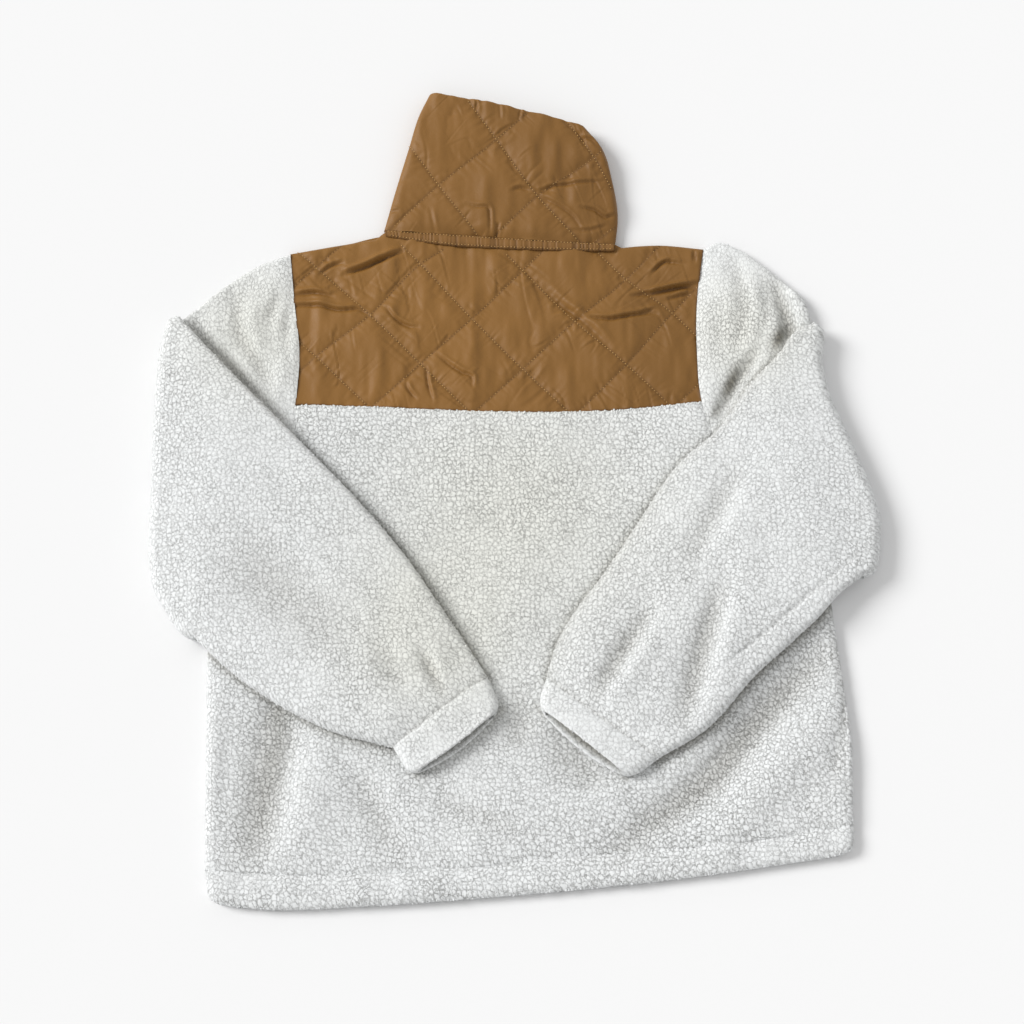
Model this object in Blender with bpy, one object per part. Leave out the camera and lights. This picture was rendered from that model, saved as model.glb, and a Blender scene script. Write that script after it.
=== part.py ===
"""Sherpa fleece pullover, laid flat: back up, collar away, both sleeves folded over the back.

X runs across the garment, Y from the hem to the collar and Z up from the surface it lies on. The
origin is under the middle of its outline. Tables and sizes are in millimetres. Each cut piece is a
wall of cloth: a panel is a grid between its four edges, and a sleeve, cuff or collar is a tube
pressed flat, with a ring of points at every row along it.
"""

import math

import bmesh
import bpy
import numpy as np

MILLIMETRE = 0.001
NEAR = 0.01             # fraction of a line over which its direction is taken

# Cloth walls and the room between them.
SHERPA = 5.5            # sherpa cloth, pile and all
QUILT = 4.0             # quilted satin with its filling
COLLAR = 6.0            # two quilted cloths, turned at the top edge
HEM = 5.8               # sherpa turned up and stitched
SEAM_GAP = 0.3          # between pieces sewn edge to edge, or lying on each other
ARMHOLE_GAP = 0.5       # the same along X and along Y, where the seam runs slanting
SLIT = 0.6              # between the two layers of a tube or of the body
CROWN = 3.1             # most that a tube's upper layer stands off its lower one
BAND = 5.0              # neck binding
BAND_RIM = 0.65         # fraction of that left along its two edges
LAYER = 2 * SHERPA + SLIT
FOLDED_MIDDLE = LAYER * 1.5 + SEAM_GAP      # height of the middle of a folded sleeve
EDGE_ROUND = 9.0        # width over which a flattened edge rounds off
EDGE_WALL = 1.2         # thickness left at the very rim of a panel
HEM_DEPTH = 29.0        # hem fold to hem stitches
CROWN_FULL = 0.15       # fraction of a folded sleeve over which its crown rises from the fold
CROWN_FLATNESS = 0.7    # below 1, a crown is flat across the middle and steep at its sides

# Places across a panel, as fractions of its width, closer together at the rounded sides.
COLUMNS = (0, 0.006, 0.02, 0.05, 0.1, 0.17, 0.25, 0.33, 0.42, 0.5,
           0.58, 0.67, 0.75, 0.83, 0.9, 0.95, 0.98, 0.994, 1)
# Places along an armhole, from underarm to shoulder tip. Sleeves keep them across their width.
YOKE_STATION = 0.556
STATIONS = (0, 0.012, 0.035, 0.08, 0.16, 0.26, 0.36, 0.46, YOKE_STATION,
            0.65, 0.75, 0.85, 0.93, 0.975, 1)
SIDE_ROWS = (0, 0.14, 0.28, 0.42, 0.56, 0.7, 0.85)     # hem stitches to underarm
HEM_ROWS = (0, 0.12, 0.35, 1)                         # hem fold to hem stitches
HEAD_ROWS = (0, 0.14, 0.36, 0.68, 1)                  # armhole to sleeve fold
TURN_ANGLES = (-50, 0, 50)                            # round the sleeve fold, in degrees
ARM_ROWS = (0, 0.06, 0.14, 0.24, 0.34, 0.45, 0.56, 0.67, 0.78, 0.89, 1)   # fold to cuff seam
CUFF_ROWS = (0, 0.5, 1)
COLLAR_ROWS = (0, 0.12, 0.35, 0.6, 0.82, 0.95, 1)
BAND_COLUMNS = (0, 0.04, 0.12, 0.22, 0.34, 0.46, 0.58, 0.7, 0.82, 0.92, 1)
BAND_ROWS = (0, 0.3, 0.7, 1)

# Edges of the body in plan, each a short list of (x, y).
BODY_EDGES = {
    "hem_fold": ((-268, -386), (-215, -391), (-130, -388), (7, -378), (139, -365), (303, -342)),
    "hem_stitches": ((-271, -357), (-215, -360), (-120, -361), (7, -350), (160, -337), (303, -318)),
    "yoke_bottom": ((-202, 77), (-104, 73), (-20, 69), (60, 68), (119, 71), (178, 77)),
    "left_hem_side": ((-268, -386), (-271, -357)),
    "right_hem_side": ((303, -342), (303, -318)),
    "left_side": ((-271, -357), (-274, -258), (-275, -203), (-276, -157), (-272, -95)),
    "right_side": ((303, -318), (304, -236), (299, -187), (292, -123), (288, -75)),
    "shoulders": ((-211, 228), (-163, 237), (-124, 243), (-57, 231), (-8, 228),
                  (84, 231), (101, 234), (140, 237), (182, 233)),
    "front_shoulders": ((-211, 228), (-163, 237), (-122, 247), (-60, 244), (35, 237.5),
                        (96, 233.5), (140, 237), (182, 233)),
}

# The sleeves. Lines across run from the underarm side to the shoulder side, and lines along run
# from the armhole by the fold to the cuff. "fold" is the line that the cloth turns round.
SLEEVES = {
    "left": {
        "armhole": ((-272, -95), (-240, -62), (-214, -12), (-203, 35), (-202, 77),
                    (-200, 129), (-206, 179), (-211, 228)),
        "underarm": ((-272, -95), (-284, -116), (-287, -140)),
        "shoulder": ((-211, 228), (-237, 218), (-262, 202), (-294, 175), (-312, 160)),
        "fold": ((-287, -140), (-306, -111), (-317, -76), (-321, -18), (-321, 79),
                 (-318, 130), (-312, 160)),
        "lower": ((-287, -140), (-276, -158), (-237, -192), (-199, -216), (-161, -234),
                  (-106, -249)),
        "inner": ((-312, 160), (-285, 130), (-255, 98), (-209, 51), (-144, -17), (-102, -66),
                  (-65, -119), (-37, -161), (-22, -185)),
        "cuff_seam": ((-106, -249), (-77, -226), (-22, -185)),
        "cuff_end": ((-90, -275), (-48, -246), (-9, -213)),
    },
    "right": {
        "armhole": ((288, -75), (247, -38), (207, 5), (188, 45), (178, 77), (174, 129),
                    (174, 159), (178, 205), (182, 233)),
        "underarm": ((288, -75), (297, -92), (297, -108)),
        "shoulder": ((182, 233), (197, 240), (214, 234), (235, 219), (257, 199), (274, 184),
                     (283, 154)),
        "fold": ((297, -108), (311, -86), (319, -62), (322, -33), (312, 8), (298, 48),
                 (285, 83), (279, 114), (283, 154)),
        "lower": ((297, -108), (280, -129), (251, -154), (220, -182), (173, -233), (130, -259)),
        "inner": ((283, 154), (254, 140), (216, 103), (187, 53), (154, 18), (113, -44),
                  (84, -88), (55, -127), (39, -157), (31, -186)),
        "cuff_seam": ((130, -259), (84, -228), (31, -186)),
        "cuff_end": ((106, -278), (66, -247), (22, -211)),
    },
}

# The collar, pressed flat and leaning a little, from its seam to its top edge.
COLLAR_EDGES = {
    "seam": ((-122, 251), (-14, 243), (98, 235.5)),
    "top": ((-76, 389), (0, 378), (69, 357)),
    "left": ((-122, 251), (-114, 286), (-101, 335), (-94, 366), (-76, 389)),
    "right": ((98, 235.5), (101, 265), (96, 301), (87, 333), (69, 357)),
}
# The neck binding fills the crescent between the collar seam and the back yoke.
BAND_EDGES = {
    "upper": ((-121, 250.5), (-14, 242.5), (94, 235.3)),
    "lower": ((-119, 245), (-57, 234), (-8, 231), (84, 233.5), (94, 234.3)),
}

# Soft swells of the upper layer where nothing lies on it: the middle of each, half its length and
# width, the turn of its length from X in degrees, and its rise.
SWELLS = (
    # x, y, half_length, half_width, turn, rise
    (-12, 5, 105, 80, 0, 2.0),          # back, between the sleeves
    (0, -100, 70, 52, 90, 1.6),         # back, above the cuffs
    (-195, -300, 78, 46, -4, 2.6),      # back, under the left sleeve
    (-5, -312, 85, 52, 4, 2.6),         # back, under the cuffs
    (232, -268, 84, 42, 41, 2.8),       # back, under the right sleeve
    (-110, 160, 100, 74, 8, 2.6),       # yoke, left half
    (85, 150, 98, 74, -6, 2.5),         # yoke, right half
    (-236, 152, 66, 27, 80, 2.4),       # left sleeve head
    (216, 158, 66, 29, 102, 2.6),       # right sleeve head
)
# Troughs pressed into the folded sleeves, in fractions of their length and width.
TROUGHS = {
    # start_along, start_across, end_along, end_across, half_width, depth
    "left": ((0.15, 0.30, 0.55, 0.42, 0.10, 1.4), (0.78, 0.50, 0.97, 0.48, 0.09, 1.6)),
    "right": ((0.55, 0.72, 0.90, 0.70, 0.09, 2.2), (0.50, 0.40, 0.88, 0.30, 0.09, 1.8)),
}

# Finish of each cloth: linear colour, roughness and metallic value.
FINISHES = {
    "sherpa": ((0.70, 0.70, 0.66), 0.95, 0.0),
    "quilt": ((0.262, 0.130, 0.042), 0.48, 0.0),
    "binding": ((0.235, 0.115, 0.036), 0.50, 0.0),
}


def clear_scene():
    for thing in list(bpy.data.objects):
        bpy.data.objects.remove(thing, do_unlink=True)


def smooth_line(points):
    """A smooth curve through the points, as a function of the fraction of its length."""
    knots = np.array(points, float)
    spans = np.linalg.norm(np.diff(knots, axis=0), axis=1)
    slopes = np.diff(knots, axis=0) / spans[:, None]
    tangents = np.vstack([slopes[:1], np.zeros((len(knots) - 2, 2)), slopes[-1:]])
    for index in range(1, len(knots) - 1):
        before, after = spans[index - 1], spans[index]
        tangents[index] = (slopes[index] * before + slopes[index - 1] * after) / (before + after)
    steps = np.linspace(0, 1, 25)[:, None]
    dense = [knots[:1]]
    for index, span in enumerate(spans):
        start, end = knots[index], knots[index + 1]
        leave, arrive = tangents[index] * span, tangents[index + 1] * span
        cubic = 2 * start - 2 * end + leave + arrive
        square = -3 * start + 3 * end - 2 * leave - arrive
        dense.append((((cubic * steps + square) * steps + leave) * steps + start)[1:])
    dense = np.vstack(dense)
    lengths = np.concatenate([[0], np.cumsum(np.linalg.norm(np.diff(dense, axis=0), axis=1))])

    def at(fraction):
        place = np.asarray(fraction, float) * lengths[-1]
        return np.stack([np.interp(place, lengths, dense[:, axis]) for axis in (0, 1)], axis=-1)

    return at


def blend(start, end, fraction):
    return start + (end - start) * fraction


def patch(first_side, last_side, start, end):
    """A surface between four edges: sides run along it, start and end run across it."""
    def bow(line, across):
        return line(across) - blend(line(0.0), line(1.0), np.asarray(across)[..., None])

    def at(across, along):
        across = np.asarray(across, float)
        along = np.broadcast_to(np.asarray(along, float), across.shape)
        straight = blend(first_side(along), last_side(along), across[..., None])
        bent = blend(bow(start, across), bow(end, across), along[..., None])
        return straight + bent

    return at


def rounded(distance, width):
    """Quarter circle from 0 at an edge to 1 at the width inside it."""
    inside = np.clip(np.asarray(distance, float) / width, 0, 1)
    return np.sqrt(np.clip(1 - (1 - inside) ** 2, 0, 1))


def swell(plan):
    """Rise of the upper layer above its lowest lie at points in plan."""
    rise = np.zeros(plan.shape[:-1])
    for x, y, half_length, half_width, turn, height in SWELLS:
        away = plan - np.array((x, y))
        angle = math.radians(turn)
        along = away[..., 0] * math.cos(angle) + away[..., 1] * math.sin(angle)
        across = away[..., 1] * math.cos(angle) - away[..., 0] * math.sin(angle)
        reach = np.clip(np.hypot(along / half_length, across / half_width), 0, 1)
        rise += height * np.cos(reach * math.pi / 2) ** 2
    return np.minimum(rise, CROWN)


def side_distance(plan):
    """Distance of each point of a grid from the first or last column, whichever is nearer."""
    from_first = np.linalg.norm(plan - plan[:, :1], axis=-1)
    from_last = np.linalg.norm(plan - plan[:, -1:], axis=-1)
    return np.minimum(from_first, from_last)


def crown_shape(across):
    """Height of a pressed tube's crown across its width, from 0 at its edges to 1."""
    return np.sin(np.clip(across, 0, 1) * math.pi) ** CROWN_FLATNESS


def make_material(name, finish):
    colour, roughness, metallic = FINISHES[finish]
    material = bpy.data.materials.new(name)
    material.use_nodes = True
    shader = material.node_tree.nodes["Principled BSDF"]
    shader.inputs["Base Color"].default_value = (*colour, 1)
    shader.inputs["Roughness"].default_value = roughness
    shader.inputs["Metallic"].default_value = metallic
    return material


def make_object(name, points, faces, finish, collection):
    """A closed, outward-facing mesh object from points in millimetres."""
    mesh = bpy.data.meshes.new(name)
    mesh.from_pydata((np.array(points) * MILLIMETRE).tolist(), [], faces)
    shape = bmesh.new()
    shape.from_mesh(mesh)
    bmesh.ops.recalc_face_normals(shape, faces=shape.faces)
    shape.to_mesh(mesh)
    shape.free()
    mesh.shade_smooth()
    mesh.materials.append(make_material(name + "_cloth", finish))
    item = bpy.data.objects.new(name, mesh)
    collection.objects.link(item)
    return item


def make_panel(name, plan, bottom, top, finish, collection):
    """A wall of cloth between two grids that share one plan: top and bottom are heights."""
    rows, columns = plan.shape[:2]
    upper = np.dstack([plan, top]).reshape(-1, 3)
    lower = np.dstack([plan, bottom]).reshape(-1, 3)
    shift = rows * columns
    faces = []
    for row in range(rows - 1):
        for column in range(columns - 1):
            corner = row * columns + column
            quad = (corner, corner + 1, corner + columns + 1, corner + columns)
            faces.append(quad)
            faces.append(tuple(index + shift for index in reversed(quad)))
    rim = list(range(columns))
    rim += [row * columns + columns - 1 for row in range(1, rows)]
    rim += [(rows - 1) * columns + column for column in range(columns - 2, -1, -1)]
    rim += [row * columns for row in range(rows - 2, 0, -1)]
    for start, end in zip(rim, rim[1:] + rim[:1]):
        faces.append((start, start + shift, end + shift, end))
    return make_object(name, np.vstack([upper, lower]), faces, finish, collection)


def make_tube(name, outer, inner, finish, collection):
    """A flattened tube, open at both ends, from its outer and inner rings, row by row."""
    rows, around = outer.shape[:2]
    shift = rows * around
    faces = []
    for row in range(rows - 1):
        for place in range(around):
            after = (place + 1) % around
            quad = (row * around + place, row * around + after,
                    (row + 1) * around + after, (row + 1) * around + place)
            faces.append(quad)
            faces.append(tuple(index + shift for index in reversed(quad)))
    for row in (0, rows - 1):
        for place in range(around):
            start = row * around + place
            end = row * around + (place + 1) % around
            faces.append((start, end, end + shift, start + shift))
    points = np.vstack([outer.reshape(-1, 3), inner.reshape(-1, 3)])
    return make_object(name, points, faces, finish, collection)


def ring(row, wall):
    """Outer and inner ring of a flattened tube at one row.

    A row is (section, front_crown, back_crown). section(across) gives the middle of the tube and
    the direction of its front face. The crowns say how far each face stands off beyond the slit.
    """
    section, front_crown, back_crown = row
    stations = np.array(STATIONS)
    middle, forward = section(stations)
    width = np.linalg.norm(np.diff(middle, axis=0), axis=1).sum()

    def loop(across, edge, room):
        centre, facing = (np.stack([np.interp(across, stations, values[:, axis])
                                    for axis in range(3)], axis=-1) for values in (middle, forward))
        full = rounded(edge, EDGE_ROUND)
        front = centre + facing * (full * (room + front_crown(across)))[:, None]
        back = centre - facing * (full * (room + back_crown(across)))[:, None]
        return np.vstack([front, back[-2:0:-1]])

    nearness = np.minimum(stations, 1 - stations)
    outer = loop(stations, nearness * width, wall + SLIT / 2)
    inset = wall / width
    inner = loop(inset + stations * (1 - 2 * inset), nearness * (width - 2 * wall), SLIT / 2)
    return outer, inner


def build_tube(name, rows, wall, finish, collection):
    rings = [ring(row, wall) for row in rows]
    outer = np.array([pair[0] for pair in rings])
    inner = np.array([pair[1] for pair in rings])
    return make_tube(name, outer, inner, finish, collection)


def level_section(surface, along, height, facing):
    """A row of a tube that lies level, its middle at the height."""
    def section(across):
        plan = surface(across, along)
        middle = np.column_stack([plan, np.full(len(plan), height)])
        return middle, np.tile((0.0, 0.0, facing), (len(plan), 1))

    return section


def turned_section(fold, side, angle):
    """A row of the sleeve as it turns over at its fold."""
    pivot = LAYER + SEAM_GAP / 2
    radius = pivot - LAYER / 2
    sign = -1 if side == "left" else 1

    def section(across):
        plan = fold(across)
        along_fold = fold(np.clip(across + NEAR, 0, 1)) - fold(np.clip(across - NEAR, 0, 1))
        along_fold /= np.linalg.norm(along_fold, axis=1)[:, None]
        outward = np.column_stack([along_fold[:, 1], -along_fold[:, 0]]) * sign
        lean, rise = math.cos(math.radians(angle)), math.sin(math.radians(angle))
        direction = np.column_stack([outward * lean, np.full(len(plan), rise)])
        axis = np.column_stack([plan, np.full(len(plan), pivot)])
        return axis + direction * radius, direction

    return section


def no_crown(across):
    return np.zeros(np.shape(across))


def arm_crown(side, along):
    """Stand-off of a folded sleeve's upper layer: a soft crown with troughs pressed into it."""
    def crown(across):
        across = np.asarray(across, float)
        rise = CROWN * crown_shape(across) * min(1.0, along / CROWN_FULL)
        for from_along, from_across, to_along, to_across, half_width, depth in TROUGHS[side]:
            reach = (along - from_along) / (to_along - from_along)
            centre = blend(from_across, to_across, reach)
            strength = math.sin(min(max(reach, 0), 1) * math.pi)
            rise = rise - depth * strength * np.exp(-((across - centre) / half_width) ** 2)
        return np.clip(rise, 0, CROWN)

    return crown


def head_crown(surface, along):
    """Stand-off of a sleeve head's upper layer, where the folded sleeve doesn't cover it."""
    def crown(across):
        return swell(surface(across, along)) * (1 - along)

    return crown


def build_sleeve(side, collection):
    table = SLEEVES[side]
    lines = {key: smooth_line(points) for key, points in table.items()}
    outset = np.array((ARMHOLE_GAP * (-1 if side == "left" else 1), ARMHOLE_GAP))
    head = patch(lines["underarm"], lines["shoulder"], lines["armhole"], lines["fold"])
    arm = patch(lines["lower"], lines["inner"], lines["fold"], lines["cuff_seam"])

    def head_surface(across, along):
        return head(across, along) + outset * (1 - along)

    rows = []
    for along in HEAD_ROWS:
        section = level_section(head_surface, along, LAYER / 2, -1.0)
        rows.append((section, no_crown, head_crown(head_surface, along)))
    for angle in TURN_ANGLES:
        rows.append((turned_section(lines["fold"], side, angle), no_crown, no_crown))
    for along in ARM_ROWS:
        section = level_section(arm, along, FOLDED_MIDDLE, 1.0)
        rows.append((section, arm_crown(side, along), no_crown))
    build_tube("sleeve_" + side, rows, SHERPA, "sherpa", collection)
    build_cuff(side, lines, collection)


def build_cuff(side, lines, collection):
    """The cuff's tube goes on from the sleeve's last row, one seam gap away."""
    seam, end = lines["cuff_seam"], lines["cuff_end"]
    length = np.linalg.norm(end(0.5) - seam(0.5))
    start = SEAM_GAP / length

    def surface(across, along):
        return blend(seam(across), end(across), blend(start, 1.0, along))

    rows = [(level_section(surface, along, FOLDED_MIDDLE, 1.0), arm_crown(side, 1.0), no_crown)
            for along in CUFF_ROWS]
    build_tube("cuff_" + side, rows, SHERPA, "sherpa", collection)


def build_body(collection):
    """Front and back panels, their turned hems, and the two yokes."""
    lines = {key: smooth_line(points) for key, points in BODY_EDGES.items()}
    armholes = [smooth_line(SLEEVES[side]["armhole"]) for side in ("left", "right")]
    columns = np.array(COLUMNS)
    seam = np.array((0.0, SEAM_GAP))

    def grid(rows):
        """rows: left point, right point, edge lines below and above, fraction between them."""
        plan = []
        for left, right, below, above, between in rows:
            straight = blend(left, right, columns[:, None])
            bows = [line(columns) - blend(line(0.0), line(1.0), columns[:, None])
                    for line in (below, above)]
            plan.append(straight + blend(bows[0], bows[1], between))
        return np.array(plan)

    hem_rows = [(lines["left_hem_side"](place), lines["right_hem_side"](place),
                 lines["hem_fold"], lines["hem_stitches"], place) for place in HEM_ROWS]
    panel_ends = [(lines["left_side"](place), lines["right_side"](place)) for place in SIDE_ROWS]
    panel_ends += [tuple(line(place) for line in armholes)
                   for place in STATIONS if place <= YOKE_STATION]
    yoke_ends = [tuple(line(place) for line in armholes)
                 for place in STATIONS if place >= YOKE_STATION]
    heights = np.array([left[1] for left, right in panel_ends])
    between = (heights - heights[0]) / (heights[-1] - heights[0])
    panel_rows = [(left, right, lines["hem_stitches"], lines["yoke_bottom"], place)
                  for (left, right), place in zip(panel_ends, between)]
    heights = np.array([left[1] for left, right in yoke_ends])
    between = (heights - heights[0]) / (heights[-1] - heights[0])
    yoke_rows = [(left, right, lines["yoke_bottom"], lines["shoulders"], place)
                 for (left, right), place in zip(yoke_ends, between)]
    front_yoke_rows = [(left, right, lines["yoke_bottom"], lines["front_shoulders"], place)
                       for (left, right), place in zip(yoke_ends, between)]

    hem = grid(hem_rows)
    panel = grid(panel_rows)
    panel[0] += seam
    back_yoke = grid(yoke_rows)
    back_yoke[0] += seam
    front_yoke = grid(front_yoke_rows)
    front_yoke[0] += seam

    panel_round = rounded(side_distance(panel), EDGE_ROUND)
    panel_round[len(SIDE_ROWS) + 1:] = 1.0
    hem_round = rounded(side_distance(hem), EDGE_ROUND)
    hem_round *= rounded(np.array(HEM_ROWS) * HEM_DEPTH, EDGE_ROUND)[:, None]
    yoke_round = rounded(np.linalg.norm(back_yoke - back_yoke[-1:], axis=-1), EDGE_ROUND)

    for name, plan, wall, finish in (("front_panel", panel, SHERPA, "sherpa"),
                                     ("hem_front", hem, SHERPA, "sherpa"),
                                     ("front_yoke", front_yoke, QUILT, "quilt")):
        flat = np.zeros(plan.shape[:2])
        make_panel(name, plan, flat, flat + wall, finish, collection)
    for name, plan, under, wall, roundness, finish in (
            ("back_panel", panel, SHERPA, SHERPA, panel_round, "sherpa"),
            ("hem_back", hem, SHERPA, HEM, hem_round, "sherpa"),
            ("back_yoke", back_yoke, QUILT, QUILT, yoke_round, "quilt")):
        rest = under + SLIT + swell(plan)
        make_panel(name, plan, rest, rest + blend(EDGE_WALL, wall, roundness), finish, collection)


def build_collar(collection):
    lines = {key: smooth_line(points) for key, points in COLLAR_EDGES.items()}
    surface = patch(lines["left"], lines["right"], lines["seam"], lines["top"])

    def crown_at(along):
        def crown(across):
            return CROWN * crown_shape(across) * (1 - 0.5 * along)

        return crown

    rows = [(level_section(surface, along, COLLAR + SLIT / 2, 1.0), crown_at(along), no_crown)
            for along in COLLAR_ROWS]
    build_tube("collar", rows, COLLAR, "quilt", collection)


def build_neck_band(collection):
    upper, lower = (smooth_line(BAND_EDGES[key]) for key in ("upper", "lower"))
    columns = np.array(BAND_COLUMNS)
    plan = np.array([blend(lower(columns), upper(columns), place) for place in BAND_ROWS])
    roundness = np.sin(np.array(BAND_ROWS) * math.pi)[:, None] * np.ones(len(columns))
    bottom = np.full(plan.shape[:2], QUILT + 2 * SLIT)
    top = bottom + BAND * blend(BAND_RIM, 1.0, roundness)
    make_panel("neck_band", plan, bottom, top, "binding", collection)


def main():
    clear_scene()
    collection = bpy.data.collections.new("sherpa_fleece_pullover")
    bpy.context.scene.collection.children.link(collection)
    build_body(collection)
    build_neck_band(collection)
    build_collar(collection)
    for side in ("left", "right"):
        build_sleeve(side, collection)


main()
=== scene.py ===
"""Looks of the sherpa fleece pullover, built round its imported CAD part.

X runs across the garment, Y from the hem to the collar and Z up. Tables and sizes are in
millimetres, and the cut's own repeat the part's, because this script reads only the frame. Every
visible piece is a fine shell on the form of its CAD solid, and stands for it.
"""

import math

import bmesh
import bpy
import numpy as np
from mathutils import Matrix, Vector


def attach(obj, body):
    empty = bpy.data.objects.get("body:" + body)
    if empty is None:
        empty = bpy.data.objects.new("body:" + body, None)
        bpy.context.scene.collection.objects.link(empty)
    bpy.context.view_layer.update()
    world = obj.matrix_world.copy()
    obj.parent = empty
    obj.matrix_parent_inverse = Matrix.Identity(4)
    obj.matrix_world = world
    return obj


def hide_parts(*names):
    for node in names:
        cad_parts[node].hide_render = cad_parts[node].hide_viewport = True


MILLIMETRE = 0.001

# Cloth walls and the room between them, as in the part.
SHERPA = 5.5
QUILT = 4.0
COLLAR = 6.0
HEM = 5.8
SEAM_GAP = 0.3
SLIT = 0.6
CROWN = 3.1
LAYER = 2 * SHERPA + SLIT
FOLDED_MIDDLE = LAYER * 1.5 + SEAM_GAP
EDGE_ROUND = 9.0
EDGE_WALL = 1.2
HEM_DEPTH = 29.0
CROWN_FULL = 0.15
CROWN_FLATNESS = 0.7
YOKE_STATION = 0.556
HEM_CORNER = 13.0       # radius of the hem's two corners in plan
TUCK = 0.8              # how far cloth runs on under its neighbour at a seam
PUFF = 3.2              # stand-off of a folded sleeve beyond its solid, in the middle
LEAST_RISE = 0.4        # least rise of an upper face within its edges
SIDE_LENGTH = 255
ARMHOLE_LENGTH = 345
BODY_WIDTH = 575
YOKE_WIDTH = 390
ARM_LENGTH = 330
HEAD_ROWS = 62          # rows of a sleeve before its fold,
TURN_ROWS = 13          # round it
ARM_ROWS = 232          # and after it
FLOOR = 20.0            # half the floor's side, in metres

# Edges of the body in plan, each a short list of (x, y).
BODY_EDGES = {
    "hem_fold": ((-268, -386), (-215, -391), (-130, -388), (7, -378), (139, -365), (303, -342)),
    "hem_stitches": ((-271, -357), (-215, -360), (-120, -361), (7, -350), (160, -337), (303, -318)),
    "yoke_bottom": ((-202, 77), (-104, 73), (-20, 69), (60, 68), (119, 71), (178, 77)),
    "left_hem_side": ((-268, -386), (-271, -357)),
    "right_hem_side": ((303, -342), (303, -318)),
    "left_side": ((-271, -357), (-274, -258), (-275, -203), (-276, -157), (-272, -95)),
    "right_side": ((303, -318), (304, -236), (299, -187), (292, -123), (288, -75)),
    "shoulders": ((-211, 228), (-163, 237), (-124, 243), (-57, 231), (-8, 228),
                  (84, 231), (101, 234), (140, 237), (182, 233)),
    "front_shoulders": ((-211, 228), (-163, 237), (-122, 247), (-60, 244), (35, 237.5),
                        (96, 233.5), (140, 237), (182, 233)),
}

# The sleeves. Lines across run from the underarm side to the shoulder side, and lines along run
# from the armhole by the fold to the cuff. "fold" is the line that the cloth turns round.
SLEEVES = {
    "left": {
        "armhole": ((-272, -95), (-240, -62), (-214, -12), (-203, 35), (-202, 77),
                    (-200, 129), (-206, 179), (-211, 228)),
        "underarm": ((-272, -95), (-282, -122), (-287, -148)),
        "shoulder": ((-211, 228), (-237, 218), (-262, 202), (-294, 175), (-312, 160)),
        "fold": ((-287, -148), (-300, -124), (-316, -97), (-321, -66), (-321, -18),
                 (-321, 79), (-318, 130), (-312, 160)),
        "lower": ((-287, -148), (-274, -161), (-237, -192), (-199, -216), (-161, -234),
                  (-106, -249)),
        "inner": ((-312, 160), (-285, 130), (-255, 98), (-209, 51), (-144, -17), (-102, -66),
                  (-65, -119), (-37, -161), (-22, -185)),
        "cuff_seam": ((-106, -249), (-77, -226), (-22, -185)),
        "cuff_end": ((-90, -275), (-48, -246), (-9, -213)),
    },
    "right": {
        "armhole": ((288, -75), (247, -38), (207, 5), (188, 45), (178, 77), (174, 129),
                    (174, 159), (178, 205), (182, 233)),
        "underarm": ((288, -75), (306, -83), (320, -90)),
        "shoulder": ((182, 233), (197, 240), (214, 234), (235, 219), (257, 199), (274, 184),
                     (283, 154)),
        "fold": ((320, -90), (325, -64), (326, -35), (314, 8), (298, 48),
                 (285, 83), (279, 114), (283, 154)),
        "lower": ((320, -90), (297, -108), (280, -127), (251, -154), (220, -182), (173, -233),
                  (130, -259)),
        "inner": ((283, 154), (263, 143), (251, 126), (221, 93), (192, 51), (155, 17), (113, -44),
                  (84, -88), (55, -127), (39, -157), (31, -186)),
        "cuff_seam": ((130, -259), (84, -228), (31, -186)),
        "cuff_end": ((106, -278), (66, -247), (22, -211)),
    },
}

COLLAR_EDGES = {
    "seam": ((-122, 251), (-14, 243), (98, 235.5)),
    "top": ((-79, 392), (0, 375.5), (69, 357)),
    "left": ((-122, 251), (-113, 286), (-99, 335), (-90, 367), (-79, 392)),
    "right": ((98, 235.5), (101, 265), (96, 301), (87, 333), (69, 357)),
}
BAND_EDGES = {
    "upper": ((-121.5, 250.5), (-14, 243), (97, 236)),
    "lower": ((-119.5, 246), (-57, 237), (-8, 234), (84, 231.5), (97, 231.5)),
}

# Soft swells of the upper layer: middle, half length and half width, turn in degrees, rise.
SWELLS = (
    (-12, 5, 105, 80, 0, 2.0),
    (0, -100, 70, 52, 90, 1.6),
    (-195, -300, 78, 46, -4, 2.6),
    (-5, -312, 85, 52, 4, 2.6),
    (232, -268, 84, 42, 41, 2.8),
    (-110, 160, 100, 74, 8, 2.6),
    (85, 150, 98, 74, -6, 2.5),
    (-236, 152, 66, 27, 80, 2.4),
    (216, 158, 66, 29, 102, 2.6),
)
# Troughs pressed into the folded sleeves, in fractions of their length and width.
TROUGHS = {
    "left": ((0.15, 0.30, 0.55, 0.42, 0.10, 1.4), (0.78, 0.50, 0.97, 0.48, 0.09, 1.6)),
    "right": ((0.55, 0.72, 0.90, 0.70, 0.09, 2.2), (0.50, 0.40, 0.88, 0.30, 0.09, 1.8)),
}

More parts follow.
